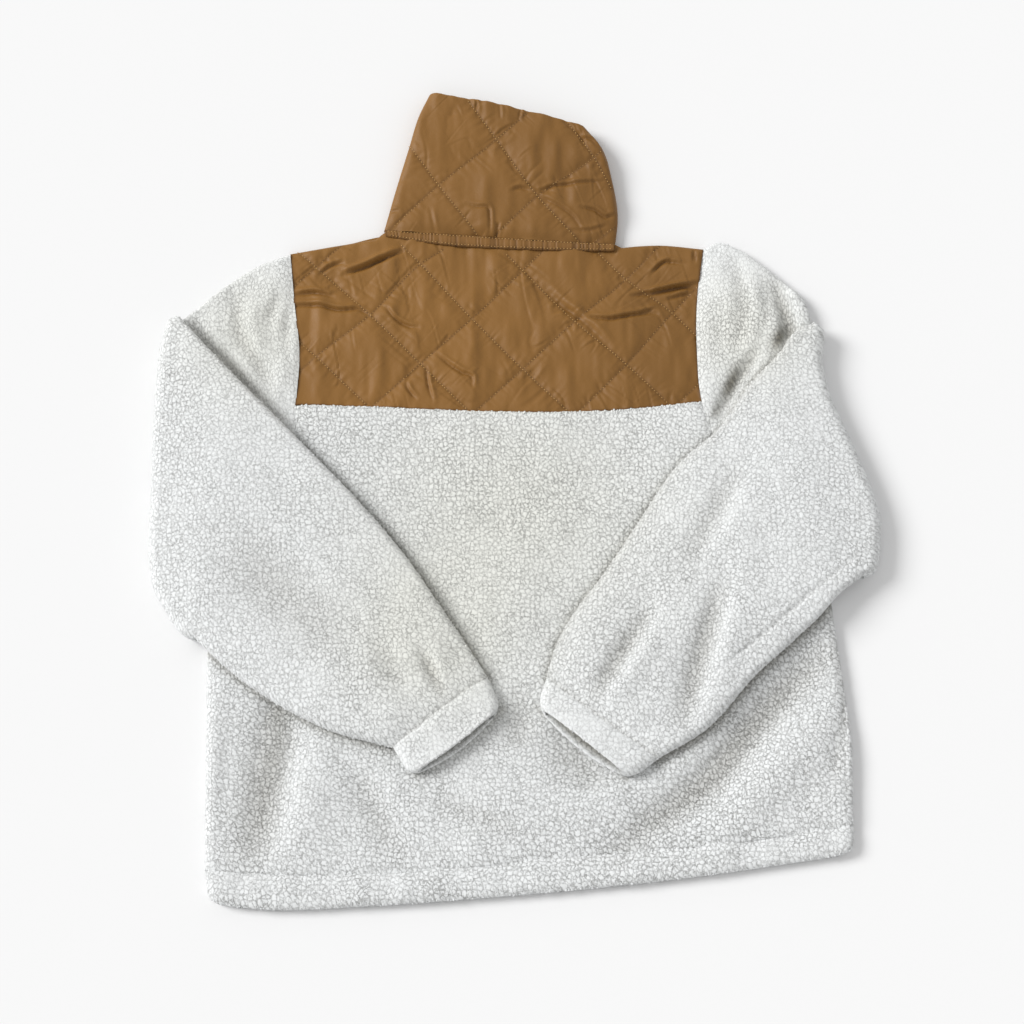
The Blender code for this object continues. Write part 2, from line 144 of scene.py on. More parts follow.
# Creases by cloth: a line in plan, half width, depth of its trough, and rise of the ridge that
# stands on the left of the line.
CREASES = {
    "body": (
        (((-203, -186), (-215, -262), (-230, -352)), 19, 6.0, 0.0),
        (((-205, -196), (-214, -224)), 9, 3.0, 0.0),
        (((-165, -225), (-178, -285), (-186, -350)), 20, -3.4, 0.0),
        (((-262, -180), (-266, -260), (-268, -350)), 9, -1.8, 0.0),
        (((-203, 40), (-144, -22), (-100, -72), (-60, -130)), 6, 3.2, 0.0),
        (((292, -140), (299, -215), (297, -300)), 3.5, 1.6, 0.8),
        (((290, -155), (216, -228), (172, -280), (128, -311), (90, -340)), 15, 6.0, 0.0),
        (((296, -215), (250, -262), (205, -308), (165, -345)), 20, -3.4, 0.0),
        (((225, -190), (175, -240), (125, -285)), 13, -2.0, 0.0),
        (((35, -225), (82, -290)), 22, 3.2, 0.0),
        (((7, -195), (7, -250)), 15, 2.6, 0.0),
        (((-70, -292), (10, -323)), 13, 2.0, 1.4),
        (((299, -204), (287, -277)), 7, 2.4, 1.4),
        (((-140, -270), (-100, -345)), 14, 2.2, 1.2),
        (((30, -300), (110, -300)), 16, -2.0, 0.0),
    ),
    "yoke": (
        (((-158, 207), (-139, 214), (-124, 221), (-104, 230)), 3.6, 1.7, 1.3),
        (((-181, 208), (-172, 215), (-160, 219)), 2.8, 0.9, 0.6),
        (((-205, 186), (-187, 188), (-170, 184)), 3.2, 1.2, 0.8),
        (((-208, 175), (-184, 175), (-162, 170), (-143, 170), (-136, 165)), 3.0, 1.2, 0.8),
        (((-118, 172), (-113, 164), (-98, 154), (-88, 152)), 2.8, 0.9, 0.6),
        (((-70, 126), (-57, 115), (-47, 108), (-38, 104), (-37, 95)), 2.8, 0.9, 0.6),
        (((-100, 99), (-97, 92), (-90, 83)), 2.6, 0.9, 0.5),
        (((-81, 114), (-78, 95), (-74, 81)), 2.6, 0.8, 0.5),
        (((131, 187), (156, 193), (173, 193)), 2.8, 1.2, 0.8),
        (((147, 182), (167, 187)), 2.6, 1.0, 0.6),
        (((121, 168), (136, 172)), 2.6, 0.9, 0.6),
        (((132, 207), (145, 219), (160, 217)), 2.8, 1.0, 0.6),
        (((173, 231), (173, 219)), 2.6, 1.0, 0.5),
        (((70, 163), (92, 161), (113, 165), (136, 168)), 3.0, 1.2, 0.8),
        (((114, 185), (144, 190), (177, 198)), 3.2, 1.4, 0.9),
        (((31, 193), (45, 178), (73, 153), (91, 133)), 5.0, 0.9, 0.6),
    ),
    "collar": (
        (((-43, 276), (-33, 273), (-23, 272), (-21, 261), (-21, 248)), 2.4, 0.9, 0.5),
        (((0, 289), (7, 292), (17, 289)), 2.8, 0.8, 0.5),
        (((24, 288), (41, 294), (62, 297), (86, 299)), 2.4, 1.0, 0.6),
        (((26, 284), (37, 278), (46, 273), (59, 262), (66, 250)), 2.2, 0.9, 0.5),
        (((66, 272), (78, 270), (90, 263), (98, 266)), 2.6, 1.2, 0.7),
        (((57, 250), (74, 250), (90, 255)), 2.6, 0.7, 0.4),
        (((67, 343), (76, 341), (83, 332)), 2.6, 0.9, 0.6),
        (((-35, 384), (-33, 370)), 2.2, 0.4, 0.3),
        (((-12, 379), (-11, 362)), 2.2, 0.4, 0.3),
        (((9, 375), (6, 360)), 2.2, 0.5, 0.3),
        (((-120, 270), (-108, 270)), 2.4, 0.8, 0.5),
        (((-78, 272), (-73, 248)), 2.6, 0.4, 0.3),
        (((-13, 257), (-15, 242)), 2.4, 1.0, 0.5),
    ),
    "arm_left": (
        (((-82, -160), (-60, -206)), 6, 4.2, 1.6),
        (((-255, -60), (-150, -160)), 30, 3.0, 0.8),
        (((-125, -150), (-98, -200)), 12, 2.0, 1.0),
    ),
    "arm_right": (
        (((125, -124), (72, -206)), 9, 4.6, 2.0),
        (((190, -100), (150, -232)), 11, 5.0, 2.2),
        (((209, 10), (158, -84)), 11, 2.4, 1.2),
        (((322, -66), (270, -109), (224, -149), (160, -200)), 2.4, 1.3, 0.0),
    ),
    "head_left": (
        (((-308, 165), (-282, 134), (-250, 100), (-205, 52)), 5.2, 5.4, 0.0),
        (((-258, 188), (-257, 152), (-237, 114), (-219, 84)), 7, 3.0, 1.2),
        (((-220, 186), (-230, 158)), 6, 2.2, 1.0),
        (((-208, 195), (-212, 150), (-208, 100)), 4, 1.2, 0.7),
    ),
    "head_right": (
        (((246, 202), (256, 172), (263, 148), (268, 122)), 7.5, 6.4, 2.0),
        (((262, 156), (252, 134)), 5, 4.0, 0.0),
        (((232, 132), (216, 108), (203, 86), (190, 60)), 6.0, 6.8, 2.0),
        (((210, 220), (219, 178), (214, 132)), 7, 2.0, 1.2),
        (((187, 62), (177, 43), (163, 23)), 5, 1.6, 0.8),
        (((236, 206), (240, 170), (232, 140)), 5, 1.4, 0.8),
    ),
}

# Painted shade beside sleeve edges, on what they lie on: side, line, reach and most shade.
CONTACT_SHADES = (
    ("left", "inner", 2.2, 1.15),
    ("left", "lower", 4.5, 0.7),
    ("right", "lower", 5.0, 0.9),
    ("right", "inner", 4.5, 0.7),
    ("left", "cuff_end", 6.0, 0.6),
    ("right", "cuff_end", 5.0, 0.5),
)

# Painted shade in deep pockets of the cloth: middle, half length and half width, turn in degrees,
# shade.
SHADE_POCKETS = (
    (251, 142, 15, 5.5, 66, 1.35),
    (205, 98, 18, 5, 64, 1.35),
    (192, 72, 14, 5, 56, 0.7),
    (-207, -212, 26, 13, 68, 0.4),
    (-190, -205, 16, 8, -30, 0.3),
)

# Rows of quilting stitches, in plan.
YOKE_STITCHES = (
    ((-201, 140), (-184, 124), (-134, 75)),
    ((-207, 233), (-186, 214), (-134, 165), (-86, 117), (-40, 70)),
    ((-106, 237), (-87, 217), (-38, 162), (10, 112), (54, 69)),
    ((-6, 228), (10, 211), (59, 159), (107, 116), (150, 74)),
    ((81, 230), (108, 202), (151, 168), (174, 144)),
    ((-206, 195), (-186, 214), (-163, 236)),
    ((-201, 108), (-184, 124), (-134, 165), (-87, 217), (-66, 232)),
    ((-132, 74), (-86, 117), (-38, 162), (10, 211), (27, 229)),
    ((-35, 70), (10, 112), (59, 159), (108, 202), (140, 236)),
    ((60, 68), (107, 116), (151, 168), (176, 195)),
    ((152, 75), (175, 98)),
)
COLLAR_STITCHES = (
    ((-43, 382), (-15, 341), (24, 284), (64, 239)),
    ((-100, 338), (-70, 295), (-33, 246)),
    ((53, 360), (78, 323), (95, 292)),
    ((-117, 250), (-70, 295), (-15, 341), (18, 372)),
    ((-17, 244), (24, 284), (78, 323), (86, 330)),
    ((76, 238), (98, 254)),
)
STITCH_PITCH = 3.1
CURL = 4.3              # size of one curl of the pile
VALLEY = 7.0            # half width of the quilting's valleys


# ---------------------------------------------------------------- lines and fields

def norms(vectors):
    return np.linalg.norm(vectors, axis=-1)


def unit(vectors):
    return vectors / norms(vectors)[:, None]


def bell(distance, width):
    return np.exp(-(distance / width) ** 2)


def arch(fraction, power=1.0):
    """From 0 at both ends to 1 in the middle."""
    return np.sin(np.clip(fraction, 0, 1) * math.pi) ** power


def smooth_line(points):
    """A smooth curve through the points, as a function of the fraction of its length."""
    knots = np.array(points, float)
    spans = norms(np.diff(knots, axis=0))
    slopes = np.diff(knots, axis=0) / spans[:, None]
    tangents = np.vstack([slopes[:1], np.zeros((len(knots) - 2, 2)), slopes[-1:]])
    for index in range(1, len(knots) - 1):
        before, after = spans[index - 1], spans[index]
        tangents[index] = (slopes[index] * before + slopes[index - 1] * after) / (before + after)
    steps = np.linspace(0, 1, 25)[:, None]
    dense = [knots[:1]]
    for index, span in enumerate(spans):
        start, end = knots[index], knots[index + 1]
        leave, arrive = tangents[index] * span, tangents[index + 1] * span
        cubic = 2 * start - 2 * end + leave + arrive
        square = -3 * start + 3 * end - 2 * leave - arrive
        dense.append((((cubic * steps + square) * steps + leave) * steps + start)[1:])
    dense = np.vstack(dense)
    lengths = np.concatenate([[0], np.cumsum(norms(np.diff(dense, axis=0)))])

    def at(fraction):
        place = fraction * lengths[-1]
        return np.stack([np.interp(place, lengths, dense[:, axis]) for axis in (0, 1)], axis=-1)

    at.length = lengths[-1]
    return at


def heading(line, fraction):
    """Direction of a line at fractions of its length."""
    ahead, behind = (line(np.clip(fraction + step, 0, 1)) for step in (0.01, -0.01))
    return unit(ahead - behind)


def blend(start, end, fraction):
    return start + (end - start) * fraction


def smoothstep(low, high, value):
    reach = np.clip((value - low) / (high - low), 0, 1)
    return reach * reach * (3 - 2 * reach)


def bow(line, across):
    """How far a line stands off the straight one between its ends."""
    return line(across) - blend(line(0.0), line(1.0), across[..., None])


def patch(first_side, last_side, start, end):
    """A surface between four edges: sides run along it, start and end run across it."""
    def at(across, along):
        across = np.asarray(across, float)
        along = np.broadcast_to(np.asarray(along, float), across.shape)
        straight = blend(first_side(along), last_side(along), across[..., None])
        return straight + blend(bow(start, across), bow(end, across), along[..., None])

    return at


def rounded(distance, width):
    """Quarter circle from 0 at an edge to 1 at the width inside it."""
    inside = np.clip(distance / width, 0, 1)
    return np.sqrt(np.clip(1 - (1 - inside) ** 2, 0, 1))


def near_edge():
    """Distances from a rounded edge, closer together towards it."""
    return EDGE_ROUND * (1 - np.cos(np.linspace(0, math.pi / 2, 8)[:-1]))


def spaced(length, step, round_end=True):
    """Fractions of a length about a step apart, closer together at its rounded ends."""
    near = near_edge()
    last = near if round_end else np.array([0.0])
    stop = length - (EDGE_ROUND if round_end else step)
    count = max(2, int(round((stop - EDGE_ROUND) / step)) + 1)
    middle = np.linspace(EDGE_ROUND, stop, count)
    return np.concatenate([near, middle, length - last[::-1]]) / length


def fixed_spacing(count, width):
    """A number of fractions across a width, closer together at its rounded ends."""
    near = near_edge() / width
    middle = np.linspace(EDGE_ROUND / width, 1 - EDGE_ROUND / width, count - 2 * len(near))
    return np.concatenate([near, middle, 1 - near[::-1]])


def noise(plan, scale, seed):
    """Smooth noise from -1 to 1 at points in plan; scale is the size of its bumps, per axis."""
    table = np.random.default_rng(seed).uniform(-1, 1, (128, 128))
    place = plan[..., :2] / np.asarray(scale, float) + 64.37
    cell = np.floor(place).astype(int)
    part = place - cell
    part = part * part * (3 - 2 * part)
    value = 0
    for across in (0, 1):
        for along in (0, 1):
            weight = (np.where(across, part[..., 0], 1 - part[..., 0])
                      * np.where(along, part[..., 1], 1 - part[..., 1]))
            value = value + weight * table[(cell[..., 0] + across) % 128,
                                           (cell[..., 1] + along) % 128]
    return value


def from_middle(plan, x, y, half_length, half_width, turn):
    """Distance from the middle of a turned ellipse, which is 1 at its edge."""
    away = plan[..., :2] - np.array((x, y))
    angle = math.radians(turn)
    along = away[..., 0] * math.cos(angle) + away[..., 1] * math.sin(angle)
    across = away[..., 1] * math.cos(angle) - away[..., 0] * math.sin(angle)
    return np.hypot(along / half_length, across / half_width)


def swell(plan):
    """Rise of the upper layer over the slack under it."""
    rise = np.zeros(plan.shape[:-1])
    for *ellipse, height in SWELLS:
        reach = np.clip(from_middle(plan, *ellipse), 0, 1)
        rise += height * np.cos(reach * math.pi / 2) ** 2
    return np.minimum(rise, CROWN)


def from_line(plan, points, reach):
    """Signed distance from a line (left is above 0), and the fraction along it, near the line."""
    line = smooth_line(points)
    count = max(12, int(line.length / 1.5))
    places = np.linspace(0, 1, count)
    dense = line(places)
    slope = unit(np.gradient(dense, axis=0))
    flat = plan[..., :2].reshape(-1, 2)
    signed = np.full(len(flat), 1e3)
    place = np.zeros(len(flat))
    low, high = dense.min(0) - reach, dense.max(0) + reach
    near = np.flatnonzero(((flat > low) & (flat < high)).all(1))
    for some in np.array_split(near, max(1, len(near) // 20000)):
        away = flat[some][:, None] - dense[None]
        index = (away ** 2).sum(-1).argmin(1)
        gap = away[np.arange(len(some)), index]
        side = slope[index, 0] * gap[:, 1] - slope[index, 1] * gap[:, 0]
        signed[some] = norms(gap) * np.where(side < 0, -1, 1)
        place[some] = places[index]
    return signed.reshape(plan.shape[:-1]), place.reshape(plan.shape[:-1])


def creases(plan, cloth):
    """Height of a cloth's listed creases at points in plan."""
    height = np.zeros(plan.shape[:-1])
    for points, half_width, depth, ridge in CREASES[cloth]:
        half_width *= 0.6 if cloth in ("yoke", "collar") else 1.0
        signed, place = from_line(plan, points, 4 * half_width)
        fade = arch(place * 0.96 + 0.02, 0.6)
        trough = bell(signed, half_width)
        beside = bell(signed - 1.9 * half_width, 1.1 * half_width)
        height += fade * (ridge * beside - depth * trough)
    return height * ({"yoke": 2.9, "collar": 2.3}.get(cloth, 1.0))


def painted_shade(plan, cloth):
    """Painted shade on the pile in troughs, in pockets and beside the sleeves' edges; 1 is dark."""
    depth = 0.1 * np.clip(-creases(plan, cloth), 0, 8)
    if not cloth.startswith("arm"):
        for side, edge, reach, most in CONTACT_SHADES:
            signed, place = from_line(plan, SLEEVES[side][edge], 4 * reach)
            depth = np.maximum(depth, most * np.exp(-(np.abs(signed) / reach) ** 1.2)
                               * smoothstep(0.0, 0.04, place))
        for *ellipse, most in SHADE_POCKETS:
            depth = np.maximum(depth, most * np.exp(-from_middle(plan, *ellipse) ** 2))
    return np.clip(depth, 0, 1.35)


def warmth(plan):
    """Where the pile is a little creamier, from 0 to 1."""
    value = np.zeros(plan.shape[:-1])
    for x, y, radius in ((0, -20, 130), (-238, 150, 70), (214, 150, 60), (-75, -150, 70)):
        value += np.exp(-((plan[..., 0] - x) ** 2 + (plan[..., 1] - y) ** 2) / radius ** 2)
    return np.clip(value, 0, 1)


def arm_crown(side, across, along):
    """Rise of a folded sleeve's upper face over its slack."""
    rise = CROWN * arch(across, CROWN_FLATNESS) * np.minimum(1.0, along / CROWN_FULL)
    for from_along, from_across, to_along, to_across, half_width, depth in TROUGHS[side]:
        reach = (along - from_along) / (to_along - from_along)
        centre = blend(from_across, to_across, reach)
        rise = rise - depth * arch(reach) * bell(across - centre, half_width)
    return rise


# ---------------------------------------------------------------- nodes

class Graph:
    """Adds nodes to one tree and gives back the output that is wanted."""

    def __init__(self, tree):
        self.tree = tree

    def add(self, kind, inputs=(), output=0, **settings):
        node = self.tree.nodes.new(kind)
        for key, value in settings.items():
            setattr(node, key, value)
        for key, value in dict(inputs).items():
            if isinstance(value, bpy.types.NodeSocket):
                self.tree.links.new(value, node.inputs[key])
            else:
                node.inputs[key].default_value = value
        return node.outputs if output is None else node.outputs[output]

    def attribute(self, name, output="Fac"):
        return self.add("ShaderNodeAttribute", (), output, attribute_name=name)

    def math(self, operation, first, second):
        return self.add("ShaderNodeMath", {0: first, 1: second}, operation=operation)

    def plus(self, first, second):
        return self.math("ADD", first, second)

    def times(self, first, second):
        return self.math("MULTIPLY", first, second)

    def vector(self, operation, *values):
        return self.add("ShaderNodeVectorMath", dict(enumerate(values)), operation=operation)

    def split(self, vector):
        return self.add("ShaderNodeSeparateXYZ", {0: vector}, None)

    def noise(self, vector, scale, detail, output="Fac", **inputs):
        return self.add("ShaderNodeTexNoise",
                        {"Vector": vector, "Scale": scale, "Detail": detail, **inputs}, output)

    def cells(self, vector, size, randomness, feature="DISTANCE_TO_EDGE", **inputs):
        return self.add("ShaderNodeTexVoronoi",
                        {"Vector": vector, "Scale": 1 / size, "Randomness": randomness, **inputs},
                        "Distance", feature=feature, voronoi_dimensions="2D")

    def span(self, value, low, high, first=0.0, last=1.0, **settings):
        return self.add("ShaderNodeMapRange", {"Value": value, "From Min": low, "From Max": high,
                                               "To Min": first, "To Max": last}, **settings)

    def mix(self, factor, first, second, **settings):
        first, second = (value if isinstance(value, bpy.types.NodeSocket) else (*value, 1)
                         for value in (first, second))
        return self.add("ShaderNodeMix", {"Factor": factor, 6: first, 7: second}, 2,
                        data_type="RGBA", **settings)

    def finish(self, shader, colour, height=None, distance=MILLIMETRE, strength=1.0, **constants):
        """Links the colour and the bump, and sets the shader's constants on its sockets."""
        self.tree.links.new(colour, shader.inputs["Base Color"])
        if height:
            bump = self.add("ShaderNodeBump", {"Height": height, "Distance": distance,
                                               "Strength": strength})
            self.tree.links.new(bump, shader.inputs["Normal"])
        for name, value in constants.items():
            shader.inputs[name.replace("_", " ")].default_value = value


def curl_cells(graph, position):
    """Distance from the cracks between curls of pile, in curls, at a position in millimetres.

    The sampler and the shader share it, so that relief and colour fall together.
    """
    wander = graph.noise(position, 0.42, 3.0, "Color", Roughness=0.62)
    bent = graph.vector("MULTIPLY_ADD", graph.vector("SUBTRACT", wander, (0.5, 0.5, 0.5)),
                        (5.6, 5.6, 5.6), position)
    # Leaning the flat pattern by the height keeps it from smearing down steep edges.
    across, along, level = graph.split(bent)
    level = graph.times(level, 0.7)
    flat = graph.add("ShaderNodeCombineXYZ", {0: graph.plus(across, level),
                                              1: graph.math("SUBTRACT", along, level)})
    return graph.cells(flat, CURL, 0.9), flat


def sample_cells(points):
    """The same distance at an array of points, read back from a geometry node tree."""
    mesh = bpy.data.meshes.new("sampler")
    mesh.vertices.add(len(points))
    mesh.vertices.foreach_set("co", np.asarray(points, np.float32).ravel())
    item = link_object("sampler", mesh)
    tree = bpy.data.node_groups.new("sampler", "GeometryNodeTree")
    for way in ("INPUT", "OUTPUT"):
        tree.interface.new_socket("Geometry", in_out=way, socket_type="NodeSocketGeometry")
    graph = Graph(tree)
    distance, _ = curl_cells(graph, graph.add("GeometryNodeInputPosition"))
    store = graph.add("GeometryNodeStoreNamedAttribute",
                      {"Geometry": graph.add("NodeGroupInput"), "Name": "distance",
                       "Value": distance}, data_type="FLOAT", domain="POINT")
    tree.links.new(store, tree.nodes.new("NodeGroupOutput").inputs[0])
    item.modifiers.new("sampler", "NODES").node_group = tree
    shown = item.evaluated_get(bpy.context.evaluated_depsgraph_get())
    values = np.zeros(len(points), np.float32)
    shown.data.attributes["distance"].data.foreach_get("value", values)
    bpy.data.objects.remove(item)
    bpy.data.meshes.remove(mesh)
    bpy.data.node_groups.remove(tree)
    return values


def new_material(name):
    material = bpy.data.materials.new(name)
    material.use_nodes = True
    return material, Graph(material.node_tree), material.node_tree.nodes["Principled BSDF"]


def sherpa_material():
    material, graph, shader = new_material("sherpa_pile")
    position = graph.attribute("cloth", "Vector")
    strength, shade, warm = (graph.attribute(name) for name in ("pile", "shade", "warm"))
    distance, bent = curl_cells(graph, position)
    curl = graph.span(distance, 0.0, 0.2, interpolation_type="SMOOTHSTEP")
    small = graph.cells(bent, 1.9, 1.0, "SMOOTH_F1", Smoothness=0.4)
    fibre = graph.noise(position, 0.9, 4.0, Roughness=0.7, Distortion=0.8)
    # Cracks are fainter in broad patches, and where neighbouring curls run together.
    patchy = graph.span(graph.noise(position, 0.055, 3.0), 0.40, 0.58, 0.85)
    joined = graph.span(graph.noise(position, 0.3, 2.0), 0.42, 0.55, 0.6)
    open_part = graph.times(patchy, joined)
    # Painted shade also deepens and darkens the cracks.
    strength = graph.plus(strength, graph.times(shade, 0.55))
    groove = graph.times(graph.math("SUBTRACT", 1.0, curl), graph.times(strength, open_part))
    height = graph.plus(graph.times(groove, -1.05), graph.times(small, -0.15))
    height = graph.plus(height, graph.times(fibre, 0.3))
    # Painted shade in the cracks between curls: they darken towards the crack colour below.
    crack_shade = graph.times(graph.span(distance, 0.10, 0.03), open_part)
    long_crack_shade = graph.span(graph.cells(bent, 9.0, 1.0), 0.05, 0.01, 0.0, 0.7)
    crack_shade = graph.times(graph.math("MAXIMUM", crack_shade, long_crack_shade), graph.times(strength, 0.8))
    crack_shade = graph.plus(crack_shade, graph.times(small, 0.08))
    tint = graph.mix(warm, (0.835, 0.85, 0.85), (0.79, 0.795, 0.745))
    # Painted shade: the pile dims towards a warm dark colour by the shade attribute.
    shaded_tint = graph.mix(graph.times(shade, 0.68), tint, (0.195, 0.175, 0.125))
    graph.finish(shader, graph.mix(crack_shade, shaded_tint, (0.16, 0.155, 0.14)), height, strength=0.75,
                 Roughness=0.92, Specular_IOR_Level=0.2, Sheen_Weight=0.25, Sheen_Roughness=0.6)
    return material


def satin_material(name, colour, dark):
    material, graph, shader = new_material(name)
    position = graph.attribute("cloth", "Vector")
    threads = graph.times(*(
        graph.add("ShaderNodeTexWave",
                  {"Vector": position, "Scale": scale, "Distortion": 0.4, "Detail": 1.0}, "Fac",
                  bands_direction=direction) for direction, scale in (("X", 0.75), ("Y", 0.85))))
    slub = graph.noise(position, 0.25, 5.0, Roughness=0.6)
    height = graph.plus(graph.times(threads, 0.05), graph.times(slub, 0.35))
    # Painted shade: the satin darkens slowly from the left shoulder to the right one, away from the
    # light, and its tone varies in broad uneven patches.
    across = graph.span(graph.split(position)[0], -60.0, 150.0, 0.18, -0.62)
    light = graph.plus(graph.noise(position, 0.02, 2.0), across)
    shade = graph.mix(light, [0.90 * value for value in colour],
                      [1.10 * value for value in colour], clamp_factor=False)
    rough = graph.span(slub, 0.0, 1.0, 0.44, 0.58)
    graph.tree.links.new(rough, shader.inputs["Roughness"])
    # Painted shade: the pile attribute darkens the satin towards its dark colour.
    graph.finish(shader, graph.mix(graph.attribute("pile"), shade, dark), height, strength=0.6,
                 Specular_IOR_Level=0.3, Sheen_Weight=0.08, Sheen_Roughness=0.4,
                 Sheen_Tint=(1.0, 0.75, 0.45, 1))
    return material


def thread_material():
    material, graph, shader = new_material("stitch_thread")
    position = graph.add("ShaderNodeTexCoord", (), "Object")
    twist = graph.add("ShaderNodeTexWave", {"Vector": position, "Scale": 900.0,
                                            "Distortion": 1.0}, "Fac",
                      bands_direction="DIAGONAL")
    graph.finish(shader, graph.mix(twist, (0.52, 0.31, 0.11), (0.70, 0.44, 0.17)), twist, 0.0001,
                 Roughness=0.6, Specular_IOR_Level=0.25)
    return material


def hole_shade_material():
    material, graph, shader = new_material("stitch_hole_shade")
    grain = graph.noise(graph.add("ShaderNodeTexCoord", (), "Object"), 1500.0, 2.0)
    # Painted shade: the holes are near black.
    graph.finish(shader, graph.mix(grain, (0.07, 0.032, 0.009), (0.12, 0.056, 0.015)),
                 Roughness=0.8)
    return material


# ---------------------------------------------------------------- meshes

def quads(rows, columns, wrap=False, start=0):
    place = np.arange(rows * columns).reshape(rows, columns) + start
    if wrap:
        place = np.hstack([place, place[:, :1]])
    return np.stack([place[:-1, :-1], place[:-1, 1:], place[1:, 1:], place[1:, :-1]],
                    axis=-1).reshape(-1, 4)


def make_mesh(name, points, faces, material):
    mesh = bpy.data.meshes.new(name)
    mesh.from_pydata((np.asarray(points) * MILLIMETRE).tolist(), [], faces)
    shape = bmesh.new()
    shape.from_mesh(mesh)
    bmesh.ops.recalc_face_normals(shape, faces=shape.faces)
    shape.to_mesh(mesh)
    shape.free()
    mesh.shade_smooth()
    mesh.materials.append(MATERIALS[material])
    return mesh


def set_attributes(mesh, **fields):
    for name, values in fields.items():
        values = np.asarray(values, np.float32)
        kind, field = (("FLOAT_VECTOR", "vector") if values.ndim == 2 else ("FLOAT", "value"))
        mesh.attributes.new(name, kind, "POINT").data.foreach_set(field, values.ravel())


def padded(values, points):
    """Values of a wall's upper face, with nought for the points of its lower one."""
    return np.concatenate([values.ravel(), np.zeros(len(points) - values.size)])


def vertices_of(mesh):
    """Places in metres and normals of a mesh's vertices."""
    places = np.zeros(len(mesh.vertices) * 3, np.float32)
    normals = places.copy()
    mesh.vertices.foreach_get("co", places)
    mesh.vertex_normals.foreach_get("vector", normals)
    return places.reshape(-1, 3), normals.reshape(-1, 3)


def link_object(name, data):
    item = bpy.data.objects.new(name, data)
    bpy.context.scene.collection.objects.link(item)
    return item


def add_piece(name, mesh, slot, *nodes):
    item = link_object(name, mesh)
    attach(item, "root")
    if nodes:
        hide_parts(*nodes)


def add_cloth(node, mesh, slot):
    """A cloth's shell, which stands for its CAD solid."""
    add_piece(node + "_cloth", mesh, slot, node)


def pile_relief(mesh, points, cloth, strength, weight, shade=0.0):
    """Curls of pile: relief on the mesh, with the coordinates, strength and painted shade for its
    material.
    """
    set_attributes(mesh, cloth=cloth, pile=strength, shade=np.broadcast_to(shade, len(points)),
                   warm=warmth(points))
    curl = smoothstep(0.0, 0.28, sample_cells(cloth)) ** 0.8
    heights = weight * (0.36 * strength * (curl - 0.75) + 0.12 * noise(cloth, (3.4, 3.4), 5))
    places, normals = vertices_of(mesh)
    moved = places + normals * np.asarray(heights, np.float32)[:, None] * MILLIMETRE
    mesh.vertices.foreach_set("co", moved.ravel())
    mesh.update()


def steepness(normals, low):
    """From 0 on faces that look up or down to 1 on a cloth's edges."""
    return smoothstep(low, 0.8, 1 - np.abs(normals[:, 2]))


def add_tufts(name, mesh, slot, count, seed, chosen=None):
    """Small curls that stand out from a cloth's edges, in one joined mesh."""
    places, normals = vertices_of(mesh)
    places = places / MILLIMETRE
    if chosen is None:
        weight = steepness(normals, 0.3) * (places[:, 2] > 1.5)
    else:
        weight = chosen(places, normals)
    random = np.random.default_rng(seed)
    found = random.choice(len(places), count, replace=False, p=weight / weight.sum())
    outward = unit(normals[found] + random.normal(0, 0.35, (count, 3)))
    sideways = unit(np.cross(outward, random.normal(0, 1, (count, 3))))
    third = np.cross(outward, sideways)
    radius = random.uniform(0.8, 1.4, (count, 1))
    reach = radius * random.uniform(0.8, 1.2, (count, 1))
    middle = places[found] - outward * 0.75 + random.normal(0, 0.35, (count, 3))
    middle[:, 2] = np.maximum(middle[:, 2], 1.6)
    # Each tuft is two rings of five points and a tip.
    around = np.arange(5) * 2 * math.pi / 5
    rings = [middle[:, None] + (outward * reach * along)[:, None] + (
        np.cos(around)[None, :, None] * (sideways * radius * thick)[:, None]
        + np.sin(around)[None, :, None] * (third * radius * thick)[:, None])
        for along, thick in ((-0.5, 0.8), (0.45, 0.85))]
    tip = middle + outward * reach
    points = np.concatenate([*rings, tip[:, None]], axis=1).reshape(-1, 3)
    pattern = [(place, (place + 1) % 5, 5 + (place + 1) % 5, 5 + place) for place in range(5)]
    pattern += [(5 + place, 5 + (place + 1) % 5, 10) for place in range(5)]
    faces = [tuple(11 * tuft + corner for corner in face)
             for tuft in range(count) for face in pattern]
    points[:, 2] = np.maximum(points[:, 2], 0.1)
    tufts = make_mesh(name, points, faces, "sherpa")
    set_attributes(tufts, cloth=points, pile=np.full(len(points), 0.35),
                   shade=np.zeros(len(points)), warm=warmth(points))
    add_piece(name, tufts, slot)


def rim_of(rows, columns):
    rim = [(0, column) for column in range(columns)]
    rim += [(row, columns - 1) for row in range(1, rows)]
    rim += [(rows - 1, column) for column in range(columns - 2, -1, -1)]
    rim += [(row, 0) for row in range(rows - 2, 0, -1)]
    return rim


